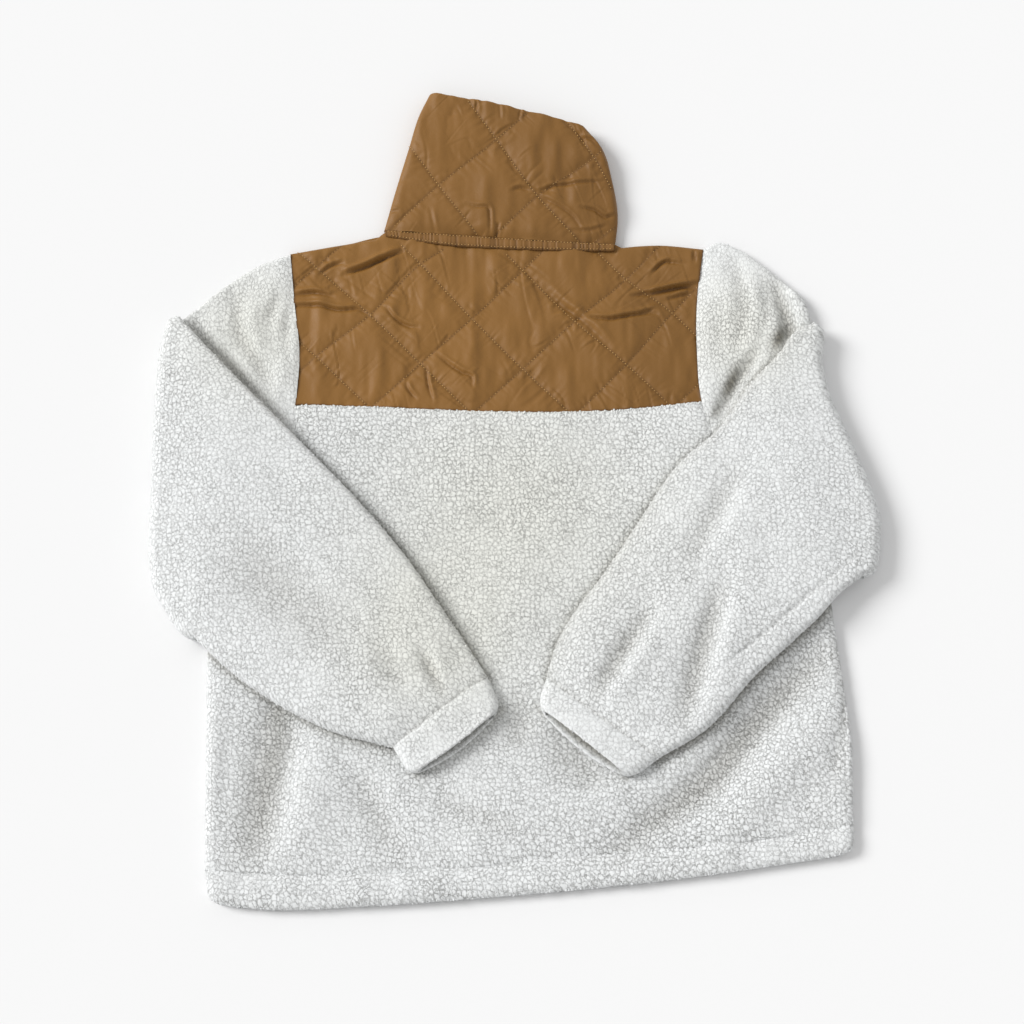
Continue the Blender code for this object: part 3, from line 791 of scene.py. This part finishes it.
def panel_mesh(name, plan, bottom, top, material, coarse):
    """A closed wall: a fine upper face, and a lower one that keeps every few rows and columns."""
    rows, columns = plan.shape[:2]
    keep_rows = np.unique(np.linspace(0, rows - 1, max(2, rows // coarse)).round().astype(int))
    keep_columns = np.unique(np.linspace(0, columns - 1,
                                         max(2, columns // coarse)).round().astype(int))
    upper = np.dstack([plan, top]).reshape(-1, 3)
    lower = np.dstack([plan, bottom])[np.ix_(keep_rows, keep_columns)].reshape(-1, 3)
    faces = quads(rows, columns).tolist()
    faces += quads(len(keep_rows), len(keep_columns), start=rows * columns)[:, ::-1].tolist()
    upper_rim = [row * columns + column for row, column in rim_of(rows, columns)]
    places = {pair: index for index, pair in enumerate(rim_of(rows, columns))}
    lower_rim = [(places[(keep_rows[row], keep_columns[column])],
                  rows * columns + row * len(keep_columns) + column)
                 for row, column in rim_of(len(keep_rows), len(keep_columns))]
    for (start, first), (end, last) in zip(lower_rim, lower_rim[1:] + lower_rim[:1]):
        end = end or len(upper_rim)
        middle = (start + end) // 2
        for index in range(start, end):
            one, two = upper_rim[index], upper_rim[(index + 1) % len(upper_rim)]
            faces.append((two, one, first if index < middle else last))
            if index == middle:
                faces.append((one, first, last))
    points = np.vstack([upper, lower])
    return make_mesh(name, points, faces, material), points


def body_rows(ends, below, above, between, columns):
    """Plan grid of a body piece, one row for each pair of end points."""
    left, right = (np.array(points)[:, None] for points in ends)
    return blend(left, right, columns[:, None]) + blend(
        bow(below, columns), bow(above, columns), between[:, None, None])


def side_distance(plan):
    """Distance from the nearer end of each row."""
    from_first = norms(plan - plan[:, :1])
    from_last = norms(plan - plan[:, -1:])
    return np.minimum(from_first, from_last)


def seam_dip(plan, line, half_width, depth):
    signed, _ = from_line(plan, line, 4 * half_width)
    return -depth * np.exp(-(np.abs(signed) / half_width) ** 1.3)


def even_heights(points):
    """Fraction of the height between the first and last point, for each point of an edge."""
    heights = points[:, 1]
    return (heights - heights[0]) / (heights[-1] - heights[0])


def panel_plan(lines, armholes, step):
    """Plan grid of a body panel, and how far each point is up its rounded sides."""
    side = np.linspace(0, 1, int(SIDE_LENGTH / step))[:-1]
    arm = np.linspace(0, YOKE_STATION, int(195 / step))
    ends = [np.vstack([lines[key](side), armhole(arm)])
            for key, armhole in zip(("left_side", "right_side"), armholes)]
    plan = body_rows(ends, lines["hem_stitches"], lines["yoke_bottom"], even_heights(ends[0]),
                     spaced(BODY_WIDTH, step))
    plan[0] -= (0.0, TUCK)
    up_armhole = np.concatenate([np.zeros(len(side)), arm * ARMHOLE_LENGTH / 8])
    return plan, blend(rounded(side_distance(plan), EDGE_ROUND), 1.0,
                       np.clip(up_armhole, 0, 1)[:, None])


def build_body():
    lines = {key: smooth_line(points) for key, points in BODY_EDGES.items()}
    armholes = [smooth_line(SLEEVES[side]["armhole"]) for side in ("left", "right")]
    build_back_panel(lines, armholes)

    # Front panel: its underside lies flat.
    plan, _ = panel_plan(lines, armholes, 5.0)
    flat = np.zeros(plan.shape[:2])
    mesh, points = panel_mesh("front_panel", plan, flat, flat + SHERPA, "sherpa", 1)
    pile_relief(mesh, points, points, 0.6 + 0.2 * noise(points, (50, 50), 6),
                np.zeros(len(points)))
    add_cloth("front_panel", mesh, "sherpa_body")
    build_hems(lines)
    build_yokes(lines, armholes)


def build_back_panel(lines, armholes):
    plan, roundness = panel_plan(lines, armholes, 1.76)
    top = (swell(plan) + creases(plan, "body") + 1.1 * noise(plan, (62, 55), 1)
           + 0.6 * noise(plan, (24, 27), 2)
           + seam_dip(plan, BODY_EDGES["hem_stitches"], 5, 2.2)
           + seam_dip(plan, SLEEVES["left"]["armhole"], 5, 2.4)
           + seam_dip(plan, SLEEVES["right"]["armhole"], 5, 2.4)
           + seam_dip(plan, BODY_EDGES["yoke_bottom"], 3, 0.8))
    bottom = np.full(top.shape, SHERPA + SLIT)
    top = bottom + EDGE_WALL + roundness * np.maximum(SHERPA - EDGE_WALL + top, LEAST_RISE)
    mesh, points = panel_mesh("back_panel", plan, bottom, top, "sherpa", 8)
    strength = 0.73 + 0.10 * noise(points, (70, 60), 3) + 0.08 * noise(points, (18, 18), 4)
    strength += 0.1 * smoothstep(60, 220, points[:, 0] - points[:, 1] * 0.4 - 60)
    pile_relief(mesh, points, points, np.clip(strength, 0.25, 1.1),
                padded(np.ones(top.shape), points), padded(painted_shade(plan, "body"), points))
    add_cloth("back_panel", mesh, "sherpa_body")
    edge = plan[-1]

    def along_yoke(places, normals):
        near = np.abs(places[:, 1] - np.interp(places[:, 0], edge[:, 0], edge[:, 1]) + 0.6) < 1.6
        return ((near & (places[:, 2] > SHERPA + 3.0)) * 1.0
                + 0.25 * steepness(normals, 0.4) * (places[:, 2] > 6))

    add_tufts("back_panel_tufts", mesh, "sherpa_body", 900, 81, along_yoke)


def build_hems(lines):
    """The turned hems: the back one on top, the front one flat under it."""
    for name, step, on_top in (("hem_back", 1.5, True), ("hem_front", 4.0, False)):
        places = spaced(HEM_DEPTH, step, False)
        across = spaced(BODY_WIDTH, step)
        ends = (lines["left_hem_side"](places), lines["right_hem_side"](places))
        plan = body_rows(ends, lines["hem_fold"], lines["hem_stitches"], places, across)
        base = np.zeros(plan.shape[:2])
        top = base + SHERPA
        if on_top:
            roundness = (rounded(side_distance(plan), EDGE_ROUND)
                         * rounded(places * HEM_DEPTH, EDGE_ROUND)[:, None])
            top = (swell(plan) + creases(plan, "body") * 0.8 + 0.9 * noise(plan, (40, 30), 7)
                   + 0.8 * noise(plan, (13, 40), 8)
                   + seam_dip(plan, BODY_EDGES["hem_stitches"], 5, 2.2))
            top = EDGE_WALL + roundness * np.maximum(HEM - EDGE_WALL + top, LEAST_RISE)
            base += SHERPA + SLIT
        corner = np.clip(1 - places * HEM_DEPTH / HEM_CORNER, 0, 1)
        inset = HEM_CORNER * (1 - np.sqrt(1 - corner ** 2))
        side = 2 * across - 1
        plan[..., 0] -= inset[:, None] * np.sign(side) * np.abs(side) ** 30
        plan[..., 1] += 1.4 * places[:, None] ** 4
        mesh, points = panel_mesh(name, plan, base, base + top, "sherpa", 4 if on_top else 1)
        weight, shade = np.zeros(len(points)), 0.0
        if on_top:
            weight = padded(np.ones(base.shape), points)
            shade = padded(0.8 * painted_shade(plan, "body"), points)
        pile_relief(mesh, points, points, 0.75 + 0.2 * noise(points, (30, 20), 9), weight, shade)
        add_cloth(name, mesh, "sherpa_hem")
        if on_top:
            add_tufts("hem_tufts", mesh, "sherpa_hem", 700, 82)


def build_yokes(lines, armholes):
    for name, top_line, step in (("back_yoke", "shoulders", 1.25),
                                 ("front_yoke", "front_shoulders", 4.0)):
        arm = np.linspace(YOKE_STATION, 1, int(160 / step))
        ends = [line(arm) for line in armholes]
        between = even_heights(ends[0])
        plan = body_rows(ends, lines["yoke_bottom"], lines[top_line], between,
                         spaced(YOKE_WIDTH, step))
        plan[0] += (0.0, SEAM_GAP)
        flat = np.zeros(plan.shape[:2])
        if name == "front_yoke":
            mesh, points = panel_mesh(name, plan, flat, flat + QUILT, "satin", 1)
            set_attributes(mesh, cloth=points, pile=np.zeros(len(points)))
        else:
            from_top = norms(plan - plan[-1:])
            neck = (smoothstep(-132, -118, plan[..., 0])
                    * (1 - smoothstep(92, 106, plan[..., 0])))
            plan[..., 1] += 7.0 * neck * between[:, None] ** 14
            roundness = np.maximum(rounded(from_top, 6.0), neck)
            rise, valley_shade = quilting(plan, YOKE_STITCHES, "yoke")
            rise += swell(plan)
            rise += neck * (noise(plan, (4.6, 60), 34) * np.exp(-from_top / 9)
                            - 1.0 * np.exp(-from_top / 5))
            rise += 0.9 * noise(plan, (5.5, 60), 35) * np.exp(-(plan[..., 1] - plan[:1, :, 1]) / 8)
            top = EDGE_WALL + roundness * np.maximum(QUILT - EDGE_WALL + rise, LEAST_RISE)
            base = flat + QUILT + SLIT
            from_pile = np.minimum(side_distance(plan), 1.2 * norms(plan - plan[:1]))
            # Painted shade along the yoke's edges, where the pile stands over it.
            valley_shade = np.maximum(valley_shade, 0.75 * bell(from_pile, 1.7))
            mesh, points = panel_mesh(name, plan, base, base + top, "satin", 6)
            set_attributes(mesh, cloth=points, pile=padded(valley_shade, points))
            add_stitches("yoke_stitches", YOKE_STITCHES, plan, base + top)
        add_cloth(name, mesh, "quilted_satin")


def quilting(plan, stitches, cloth):
    """Rise of quilted cloth between its rows of stitches, and its painted shade: along the
    stitches, in creases, and a little all over the collar.
    """
    nearest = np.full(plan.shape[:2], 1e3)
    pucker = np.zeros(plan.shape[:2])
    for index, points in enumerate(stitches):
        signed, place = from_line(plan, points, 60)
        length = smooth_line(points).length
        distance = np.abs(signed)
        nearest = np.minimum(nearest, distance)
        wander = noise(np.dstack([place * length, signed]), (9, 30), 20 + index)
        ripple = np.sin(place * length * 2 * math.pi / 8.5 + 5 * wander)
        pucker += 0.5 * ripple * np.exp(-distance / 6.0) * (0.5 + 0.9 * np.abs(wander))
    drags = (((11, 62), 0.25), ((10, 50), -0.8), ((12, 66), 0.9))
    for index, (scale, turned) in enumerate(drags):
        turn = np.array(((math.cos(turned), -math.sin(turned)),
                         (math.sin(turned), math.cos(turned))))
        lines = noise(plan @ turn, scale, 50 + index)
        some = smoothstep(0.05, 0.5, noise(plan, (30, 30), 60 + index))
        pucker += some * (0.45 * bell(lines - 0.17, 0.11)
                          - 0.75 * bell(lines, 0.08)) * (0.35 + np.exp(-nearest / 14))
    puff = 1 - np.exp(-(nearest / VALLEY) ** 1.1)
    rise = 2.2 * (puff - 0.7) + pucker * smoothstep(0.2, 2.0, nearest)
    rise += creases(plan, cloth)
    rise += 1.5 * noise(plan, (11, 38), 31) * puff + 1.2 * noise(plan, (34, 26), 32)
    rise += 0.4 * noise(plan, (5.5, 16), 33) * puff
    deep = np.clip(-creases(plan, cloth), 0, 4)
    # Painted shade along the rows of stitches and in deep creases.
    valley_shade = 0.34 * bell(nearest, 1.3) + 0.03 * deep + 0.008 * deep ** 3
    return rise, np.clip(valley_shade + (0.09 if cloth == "collar" else 0.0), 0, 0.9)


def add_stitches(name, rows, plan, top):
    """Stitches as short beads of thread along each row, in one joined mesh."""
    places, directions = [], []
    for points in rows:
        line = smooth_line(points)
        count = int(line.length / STITCH_PITCH)
        fraction = (np.arange(count) + 0.5) / count
        places.append(line(fraction))
        directions.append(heading(line, fraction))
    places, directions = np.vstack(places), np.vstack(directions)
    flat = plan.reshape(-1, 2)
    found = np.array([((flat - place) ** 2).sum(1).argmin() for place in places])
    on_cloth = norms(flat[found] - places) < 1.4
    places, directions, heights = (values[on_cloth] for values in (
        places, directions, top.ravel()[found]))
    random = np.random.default_rng(11)
    # Each bead is five rings of six points: place along it and thickness.
    rings = ((-1.0, 0.25), (-0.62, 0.85), (0.0, 1.0), (0.62, 0.85), (1.0, 0.25))
    around = np.arange(6) * math.pi / 3
    points, faces = [], []
    for place, direction, height in zip(places, directions, heights):
        side = np.array((-direction[1], direction[0]))
        sink = 0.2 if direction[1] < 0.2 else -0.3
        half, radius = random.uniform(0.5, 0.62), random.uniform(0.36, 0.43)
        start = len(points) * 30
        bead = np.zeros((5, 6, 3))
        for index, (along, thick) in enumerate(rings):
            bead[index, :, :2] = (place + direction * along * half
                                  + np.outer(np.cos(around) * radius * thick, side))
            bead[index, :, 2] = height + sink + np.sin(around) * radius * thick
        points.append(bead.reshape(-1, 3))
        faces += quads(5, 6, wrap=True, start=start).tolist()
        faces += [tuple(range(start, start + 6)), tuple(range(start + 24, start + 30))]
    mesh = make_mesh(name, np.vstack(points), faces, "thread")
    add_piece(name, mesh, "quilted_satin")
    # Painted shade in the holes that the thread dips into: dark discs just above the cloth.
    points, faces = [], []
    places = places + directions * STITCH_PITCH / 2
    for place, direction, height in zip(places, directions, heights):
        start = len(points) * 8
        side = np.array((-direction[1], direction[0]))
        turns = np.arange(8) * math.pi / 4
        disc = (place + np.outer(np.cos(turns) * 0.45, direction)
                + np.outer(np.sin(turns) * 0.32, side))
        points.append(np.column_stack([disc, np.full(8, height + 0.12)]))
        faces.append(tuple(range(start, start + 8)))
    mesh = make_mesh(name + "_holes", np.vstack(points), faces, "hole")
    add_piece(name + "_holes", mesh, "quilted_satin")


# ---------------------------------------------------------------- tubes

def tube_rings(rows, front_count, back_count, turn=(EDGE_ROUND, EDGE_ROUND)):
    """Rings of points round a pressed tube, one for each row.

    A row is (middle, facing, inset, front, back): middle and facing are functions of the
    fraction across it, and front and back give each face's stand-off there.
    """
    rings = []
    for middle, facing, inset, front, back in rows:
        width = norms(np.diff(middle(np.linspace(0, 1, 40)), axis=0)).sum()
        halves = []
        for count, stand_off, sign in ((front_count, front, 1), (back_count, back, -1)):
            across = fixed_spacing(count, width - 2 * inset)
            clear = width - 2 * inset
            full = (rounded(across * clear, min(turn[0], clear / 2))
                    * rounded((1 - across) * clear, min(turn[1], clear / 2)))
            place = inset / width + across * (1 - 2 * inset / width)
            halves.append(middle(place) + sign * facing(place)
                          * (full * stand_off(place))[:, None])
        rings.append(np.vstack([halves[0], halves[1][-2:0:-1]]))
    return np.array(rings)


def tube_mesh(name, rings, material):
    count, around = rings.shape[:2]
    points = rings.reshape(-1, 3)
    return make_mesh(name, points, quads(count, around, wrap=True).tolist(), material), points


def level_row(surface, along, height, upward, inset, front, back):
    """A row of a tube that lies flat; upward is -1 where its front face looks down."""
    def middle(across):
        plan = surface(across, along)
        level = height(across) if callable(height) else np.full(len(plan), height)
        return np.column_stack([plan, level])

    def facing(across):
        return np.tile((0.0, 0.0, upward), (len(across), 1))

    return middle, facing, inset, front, back


def turned_row(fold, side, angle, ends):
    """A row of the cloth as it turns over; ends are the reaches of its two tapered corners."""
    pivot = LAYER + SEAM_GAP / 2
    radius = pivot - LAYER / 2
    sign = -1 if side == "left" else 1
    lean, rise = math.cos(math.radians(angle)), math.sin(math.radians(angle))

    def facing(across):
        slope = heading(fold, across)
        outward = np.column_stack([slope[:, 1], -slope[:, 0]]) * sign
        taper = (rounded(across * fold.length, ends[0])
                 * rounded((1 - across) * fold.length, ends[1]))
        return np.column_stack([outward * lean * taper[:, None], np.full(len(slope), rise)])

    def middle(across):
        plan = fold(across)
        axis = np.column_stack([plan, np.full(len(plan), pivot)])
        return axis + facing(across) * radius

    def thick(across):
        return np.full(np.shape(across), LAYER / 2)

    return middle, facing, 0.0, thick, thick


def build_sleeve(side):
    lines = {key: smooth_line(points) for key, points in SLEEVES[side].items()}
    outset = np.array((TUCK * (1 if side == "left" else -1), -TUCK)) * 0.7
    head = patch(lines["underarm"], lines["shoulder"], lines["armhole"], lines["fold"])
    arm = patch(lines["lower"], lines["inner"], lines["fold"], lines["cuff_seam"])
    half = LAYER / 2

    def head_surface(across, along):
        return head(across, along) + outset * (1 - along)

    def flat_side(across):
        return np.full(np.shape(across), half)

    def head_top(along):
        def top(across):
            plan = head_surface(across, along)
            rise = (swell(plan) + creases(plan, "head_" + side)
                    + 1.3 * noise(plan, (17, 44), 41) + 0.7 * noise(plan, (9, 24), 42))
            seam = 2.6 * math.exp(-(along * 100 / 5) ** 1.3)
            return half + rise * min(1.0, (1 - along) * 5) - seam
        return top

    def arm_top(along):
        def top(across):
            plan = arm(across, along)
            rise = creases(plan, "arm_" + side)
            rise += PUFF * arch(across, 0.45) * min(1, along / 0.2)
            rise += (1.2 * noise(plan, (48, 42), 43) + 0.55 * noise(plan, (20, 24), 44)) * min(
                1.0, along * 6)
            from_seam = (1 - along) * ARM_LENGTH
            rise = arm_crown(side, across, along) + rise * float(smoothstep(0, 34, from_seam))
            gathers = noise(np.dstack([across[None] * 105, np.full((1, len(across)), from_seam)]),
                            (9, 60), 45)[0]
            rise += (1.8 * gathers * math.exp(-from_seam / 16) * (1 - math.exp(-from_seam / 4))
                     - 1.7 * math.exp(-from_seam / 6))
            return np.maximum(half + rise, half * 0.45)
        return top

    def arm_height(along):
        def level(across):
            ends = smoothstep(0.0, 0.06, along) * (1 - smoothstep(0.55, 0.95, along))
            if side == "left":
                return FOLDED_MIDDLE + 2.2 * ends * smoothstep(0.78, 1.0, across)
            return FOLDED_MIDDLE + 1.4 * ends * (1 - smoothstep(0.0, 0.2, across))
        return level

    rows = []
    for along in np.linspace(0, 1, HEAD_ROWS):
        rows.append(level_row(head_surface, along, half, -1.0, 0.0, flat_side, head_top(along)))
    for angle in np.linspace(-82, 82, TURN_ROWS):
        rows.append(turned_row(lines["fold"], side, angle, (30, 6) if side == "left" else (14, 8)))
    for along in np.linspace(0, 1, ARM_ROWS):
        rows.append(level_row(arm, along, arm_height(along), 1.0, 0.0, arm_top(along),
                              flat_side))
    front_count, back_count = 190, 112
    rings = tube_rings(rows, front_count, back_count, (8.0, 5.5) if side == "left" else (6.5, 8.0))
    mesh, points = tube_mesh("sleeve_" + side, rings, "sherpa")
    row, place = (grid.ravel() for grid in np.indices(rings.shape[:2]))
    is_front = place < front_count
    turn = HEAD_ROWS
    weight = np.where(is_front, smoothstep(turn - 4, turn + 3, row),
                      1 - smoothstep(turn - 8, turn - 1, row))
    on_head = ~is_front & (row < turn)
    on_arm = is_front & (row >= turn + TURN_ROWS)
    cloth = points.copy()
    cloth[on_head] *= (1.2, 0.92, 1.0)
    shade = np.where(on_head, painted_shade(points, "head_" + side),
                     np.where(on_arm, painted_shade(points, "arm_" + side), 0.0))
    from_cuff = (len(rows) - 1 - row) / (ARM_ROWS - 1) * ARM_LENGTH
    # Painted shade on the sleeve beside its cuff seam.
    shade = np.maximum(shade, np.where(is_front, 0.3 * bell(from_cuff, 3.2), 0.0))
    # Painted shade along the right sleeve's inner edge, which dims the lit rim of that edge.
    if side == "right":
        from_inner, _ = from_line(points, SLEEVES[side]["inner"], 14)
        shade = np.maximum(shade, on_arm * 0.42 * np.exp(-np.abs(from_inner) / 4.5))
    strength = 0.66 + 0.13 * noise(points, (60, 60), 46) + 0.08 * noise(points, (15, 15), 47)
    strength = np.where(on_head, strength - 0.1 + 0.12 * noise(points, (26, 34), 48),
                        strength)
    pile_relief(mesh, points, cloth, np.clip(strength, 0.3, 1.15), weight, shade)
    add_cloth("sleeve_" + side, mesh, "sherpa_sleeve")
    edge = lines["armhole"](np.linspace(0, 1, 60))[::-1]

    def edges(places, normals):
        steep = steepness(normals, 0.3) * (places[:, 2] > 1.5)
        at_yoke = np.interp(-places[:, 1], -edge[:, 1], edge[:, 0])
        from_inner, _ = from_line(places, SLEEVES[side]["inner"], 8)
        fuzzy = (np.abs(from_inner) < 3) & (places[:, 2] > FOLDED_MIDDLE + 1)
        return steep * (np.abs(places[:, 0] - at_yoke) > 8) + 0.6 * fuzzy

    add_tufts(f"sleeve_{side}_tufts", mesh, "sherpa_sleeve", 1200, 82 + len(side), edges)
    build_cuff(side, lines)


def rolled_end(rim, outer_count, angles, inner_count):
    """Rows of a tube with a rolled end: place along it, and share of the wall gone inward."""
    rows = [(along, 0.0) for along in np.linspace(0, 1 - rim, outer_count)]
    rows += [(1 - rim * (1 - math.sin(angle)), 0.5 - 0.5 * math.cos(angle))
             for angle in np.radians(np.linspace(*angles))]
    return rows + [(along, 1.0) for along in np.linspace(1 - rim, 0.1, inner_count)]


def build_cuff(side, lines):
    """The cuff: outside, rolled end, and the inside as far as it can be seen."""
    seam, end = lines["cuff_seam"], lines["cuff_end"]
    length = np.linalg.norm(end(0.5) - seam(0.5))
    start = -(TUCK + 2.2) / length
    half, wall, radius = LAYER / 2, 3.0, 11.0
    outer, turned, front, back = 20, 9, 84, 60

    def surface(across, along):
        return blend(seam(across), end(across), start + along * (1 - start))

    def outside(along, scale, crown):
        def stand_off(across):
            rise = half + crown * arm_crown(side, across, 1.0)
            plan = surface(across, along)
            rise = rise + (0.7 * noise(plan, (16, 16), 51)
                           - 3.4 * math.exp(-along * length / 3.4)) * (1 if crown else 0.3)
            return rise - wall * scale
        return stand_off

    def corner(along):
        reach = np.clip(1 - (1 - along) * length / radius, 0, 1)
        return radius * (1 - math.sqrt(1 - reach ** 2)) * 0.8

    rows = [level_row(surface, along, FOLDED_MIDDLE, 1.0, wall * inward + corner(along),
                      outside(along, inward, 1.0), outside(along, inward, 0.0))
            for along, inward in rolled_end(wall / 2 / length, outer, (15, 165, turned), 12)]
    rings = tube_rings(rows, front, back)
    # The lower layer runs out beyond the upper one, which draws back a little.
    outward = (end(0.5) - seam(0.5)) / length
    slips = ((0.0, 4.5) if side == "left" else (-1.6, 5.4))
    reach = (np.arange(len(rows)) / (outer - 1)).clip(0, 1) ** 2
    for first, last, slip in ((0, front, slips[0]), (front, rings.shape[1], slips[1])):
        spread = arch(np.linspace(0, 1, last - first), 0.6)
        rings[:, first:last, :2] += (slip * reach[:, None] * spread)[..., None] * outward
    mesh, points = tube_mesh("cuff_" + side, rings, "sherpa")
    row = np.indices(rings.shape[:2])[0].ravel()
    strength = 0.52 + 0.2 * noise(points, (20, 20), 52)
    inside = outer + turned
    weight = np.where(row < inside - 3, 0.9, 0.3)
    # Painted shade inside the cuff beyond its rolled end, and at its seam.
    shade = np.maximum(smoothstep(inside - 0.5, inside + 2.5, row), 0.28 * bell(row, 1.6))
    pile_relief(mesh, points, points, strength, weight, shade)
    add_cloth("cuff_" + side, mesh, "sherpa_cuff")
    add_tufts(f"cuff_{side}_tufts", mesh, "sherpa_cuff", 70, 90 + len(side))


def build_collar():
    lines = {key: smooth_line(points) for key, points in COLLAR_EDGES.items()}
    surface = patch(lines["left"], lines["right"], lines["seam"], lines["top"])
    length = 130.0
    middle_height = COLLAR + SLIT / 2
    grid = np.linspace(0, 1, 330)
    fine_plan = surface(*np.meshgrid(grid, np.linspace(0, 1, 230)))
    rise_grid, valley_shade_grid = quilting(fine_plan, COLLAR_STITCHES, "collar")

    def look_up(table, across, along):
        row = np.clip(along, 0, 1) * (len(table) - 1)
        low = int(min(row, len(table) - 2))
        line = blend(table[low], table[low + 1], row - low)
        return np.interp(across, grid, line)

    def outside(along, inward, upper):
        def stand_off(across):
            rise = np.full(np.shape(across), middle_height)
            if upper:
                crown = arch(across, CROWN_FLATNESS)
                rise = rise + CROWN * crown * (1 - 0.5 * along)
                rise = rise + look_up(rise_grid, across, along)
                plan = surface(across, along)
                rise += 0.7 * noise(plan, (5.5, 60), 61) * math.exp(-(1 - along) * length / 9)
                rise += 0.7 * noise(plan, (5.5, 60), 62) * math.exp(-along * length / 9)
                rise -= (2.6 + CROWN * crown) * math.exp(-(along * length / 6) ** 1.4)
            return rise - COLLAR * inward + (0.0 if upper else lift(along))
        return stand_off

    def lift(along):
        return 6.0 * float(smoothstep(0.05, 0.8, along))

    rows, valleys = [], []
    outer, front, back = 108, 190, 90
    places = fixed_spacing(front, 180)
    for along, inward in rolled_end(COLLAR / 2 / length, outer, (12, 168, 11), 18):
        rows.append(level_row(surface, along, middle_height + lift(along), 1.0,
                              COLLAR * inward * 0.5,
                              outside(along, inward, True), outside(along, inward, False)))
        # Painted shade of the quilting, on the collar's upper face only.
        valleys.append(np.concatenate([look_up(valley_shade_grid, places, along),
                                       np.zeros(back - 2)]) * (inward == 0))
    rings = tube_rings(rows, front, back, (8.0, 7.0))
    mesh, points = tube_mesh("collar", rings, "satin")
    set_attributes(mesh, cloth=points, pile=np.array(valleys).ravel())
    add_cloth("collar", mesh, "quilted_satin")
    upper = rings[:outer, :front]
    add_stitches("collar_stitches", COLLAR_STITCHES, upper[..., :2], upper[..., 2])


def build_neck_band():
    upper, lower = (smooth_line(BAND_EDGES[key]) for key in ("upper", "lower"))
    columns = np.linspace(0, 1, 400)
    places = np.linspace(0, 1, 16)
    bulge = arch(places)[:, None]
    plan = np.array([blend(lower(columns) - (0, 1.6), upper(columns) + (0, 1.0), place)
                     for place in places])
    gathers = (noise(plan, (1.5, 40), 71) * 0.75 + noise(plan, (4.0, 60), 72) * 0.5)
    base = np.full(plan.shape[:2], QUILT + 2 * SLIT)
    top = (base + 3.7 + 1.1 * places[:, None] + 1.5 * bulge ** 0.6
           + gathers * (0.9 - 0.4 * bulge))
    mesh, points = panel_mesh("neck_band", plan, base, top, "binding", 4)
    # Painted shade towards the band's edges and in the troughs of its gathers.
    shade = 0.55 * (1 - bulge) ** 2 + 0.55 * np.clip(-gathers, 0, 1)
    set_attributes(mesh, cloth=points, pile=np.clip(padded(shade, points), 0, 1))
    add_cloth("neck_band", mesh, "binding")
    rows = [[tuple(point) for point in line(np.linspace(0.01, 0.99, 12)) + (0, shift)]
            for line, shift in ((lower, 0.2), (upper, -0.6))]
    add_stitches("neck_band_stitches", rows, plan, top)


# ---------------------------------------------------------------- surroundings

def turn_towards(item, direction):
    item.rotation_mode = "QUATERNION"
    item.rotation_quaternion = direction.to_track_quat("-Z", "Y")


def add_camera():
    data = bpy.data.cameras.new("camera")
    data.lens, data.sensor_width = 85, 36
    data.clip_start, data.clip_end = 0.05, 50
    camera = link_object("camera", data)
    camera.location = (0, -0.6411, 2.1482)
    turn_towards(camera, Vector((0, -0.028, 0.010)) - camera.location)
    bpy.context.scene.camera = camera


def add_surroundings():
    mesh = bpy.data.meshes.new("floor")
    mesh.from_pydata([(x * FLOOR, y * FLOOR, -0.0002) for x, y in ((-1, -1), (1, -1), (1, 1),
                                                                   (-1, 1))], [], [(0, 1, 2, 3)])
    material, _, shader = new_material("floor")
    shader.inputs["Base Color"].default_value = (0.84, 0.84, 0.84, 1)
    shader.inputs["Roughness"].default_value = 0.9
    shader.inputs["Specular IOR Level"].default_value = 0.1
    mesh.materials.append(material)
    link_object("floor", mesh)
    world = bpy.data.worlds.new("world")
    bpy.context.scene.world = world
    world.use_nodes = True
    back = world.node_tree.nodes["Background"]
    back.inputs["Color"].default_value = (1.0, 1.0, 1.0, 1)
    back.inputs["Strength"].default_value = 0.64
    light = bpy.data.lights.new("key", "SUN")
    light.energy, light.angle = 2.65, math.radians(26)
    turn_towards(link_object("key", light), Vector((0.82, -0.25, -0.60)))
    bpy.context.scene.view_settings.view_transform = "Standard"


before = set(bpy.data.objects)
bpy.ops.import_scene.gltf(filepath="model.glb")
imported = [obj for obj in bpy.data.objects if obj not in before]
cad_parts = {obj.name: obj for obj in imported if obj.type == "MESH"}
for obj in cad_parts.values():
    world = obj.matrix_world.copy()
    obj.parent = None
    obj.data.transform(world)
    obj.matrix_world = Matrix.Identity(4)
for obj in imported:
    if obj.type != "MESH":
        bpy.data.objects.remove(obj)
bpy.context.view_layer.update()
add_camera()
add_surroundings()
MATERIALS = {
    "sherpa": sherpa_material(),
    # The satins' dark colours are their painted shade.
    "satin": satin_material("quilted_satin", (0.232, 0.1095, 0.0238), (0.06, 0.024, 0.005)),
    "binding": satin_material("neck_binding", (0.218, 0.103, 0.0245), (0.055, 0.023, 0.005)),
    "thread": thread_material(),
    "hole": hole_shade_material(),
}
build_body()
build_collar()
build_neck_band()
for sleeve_side in ("left", "right"):
    build_sleeve(sleeve_side)
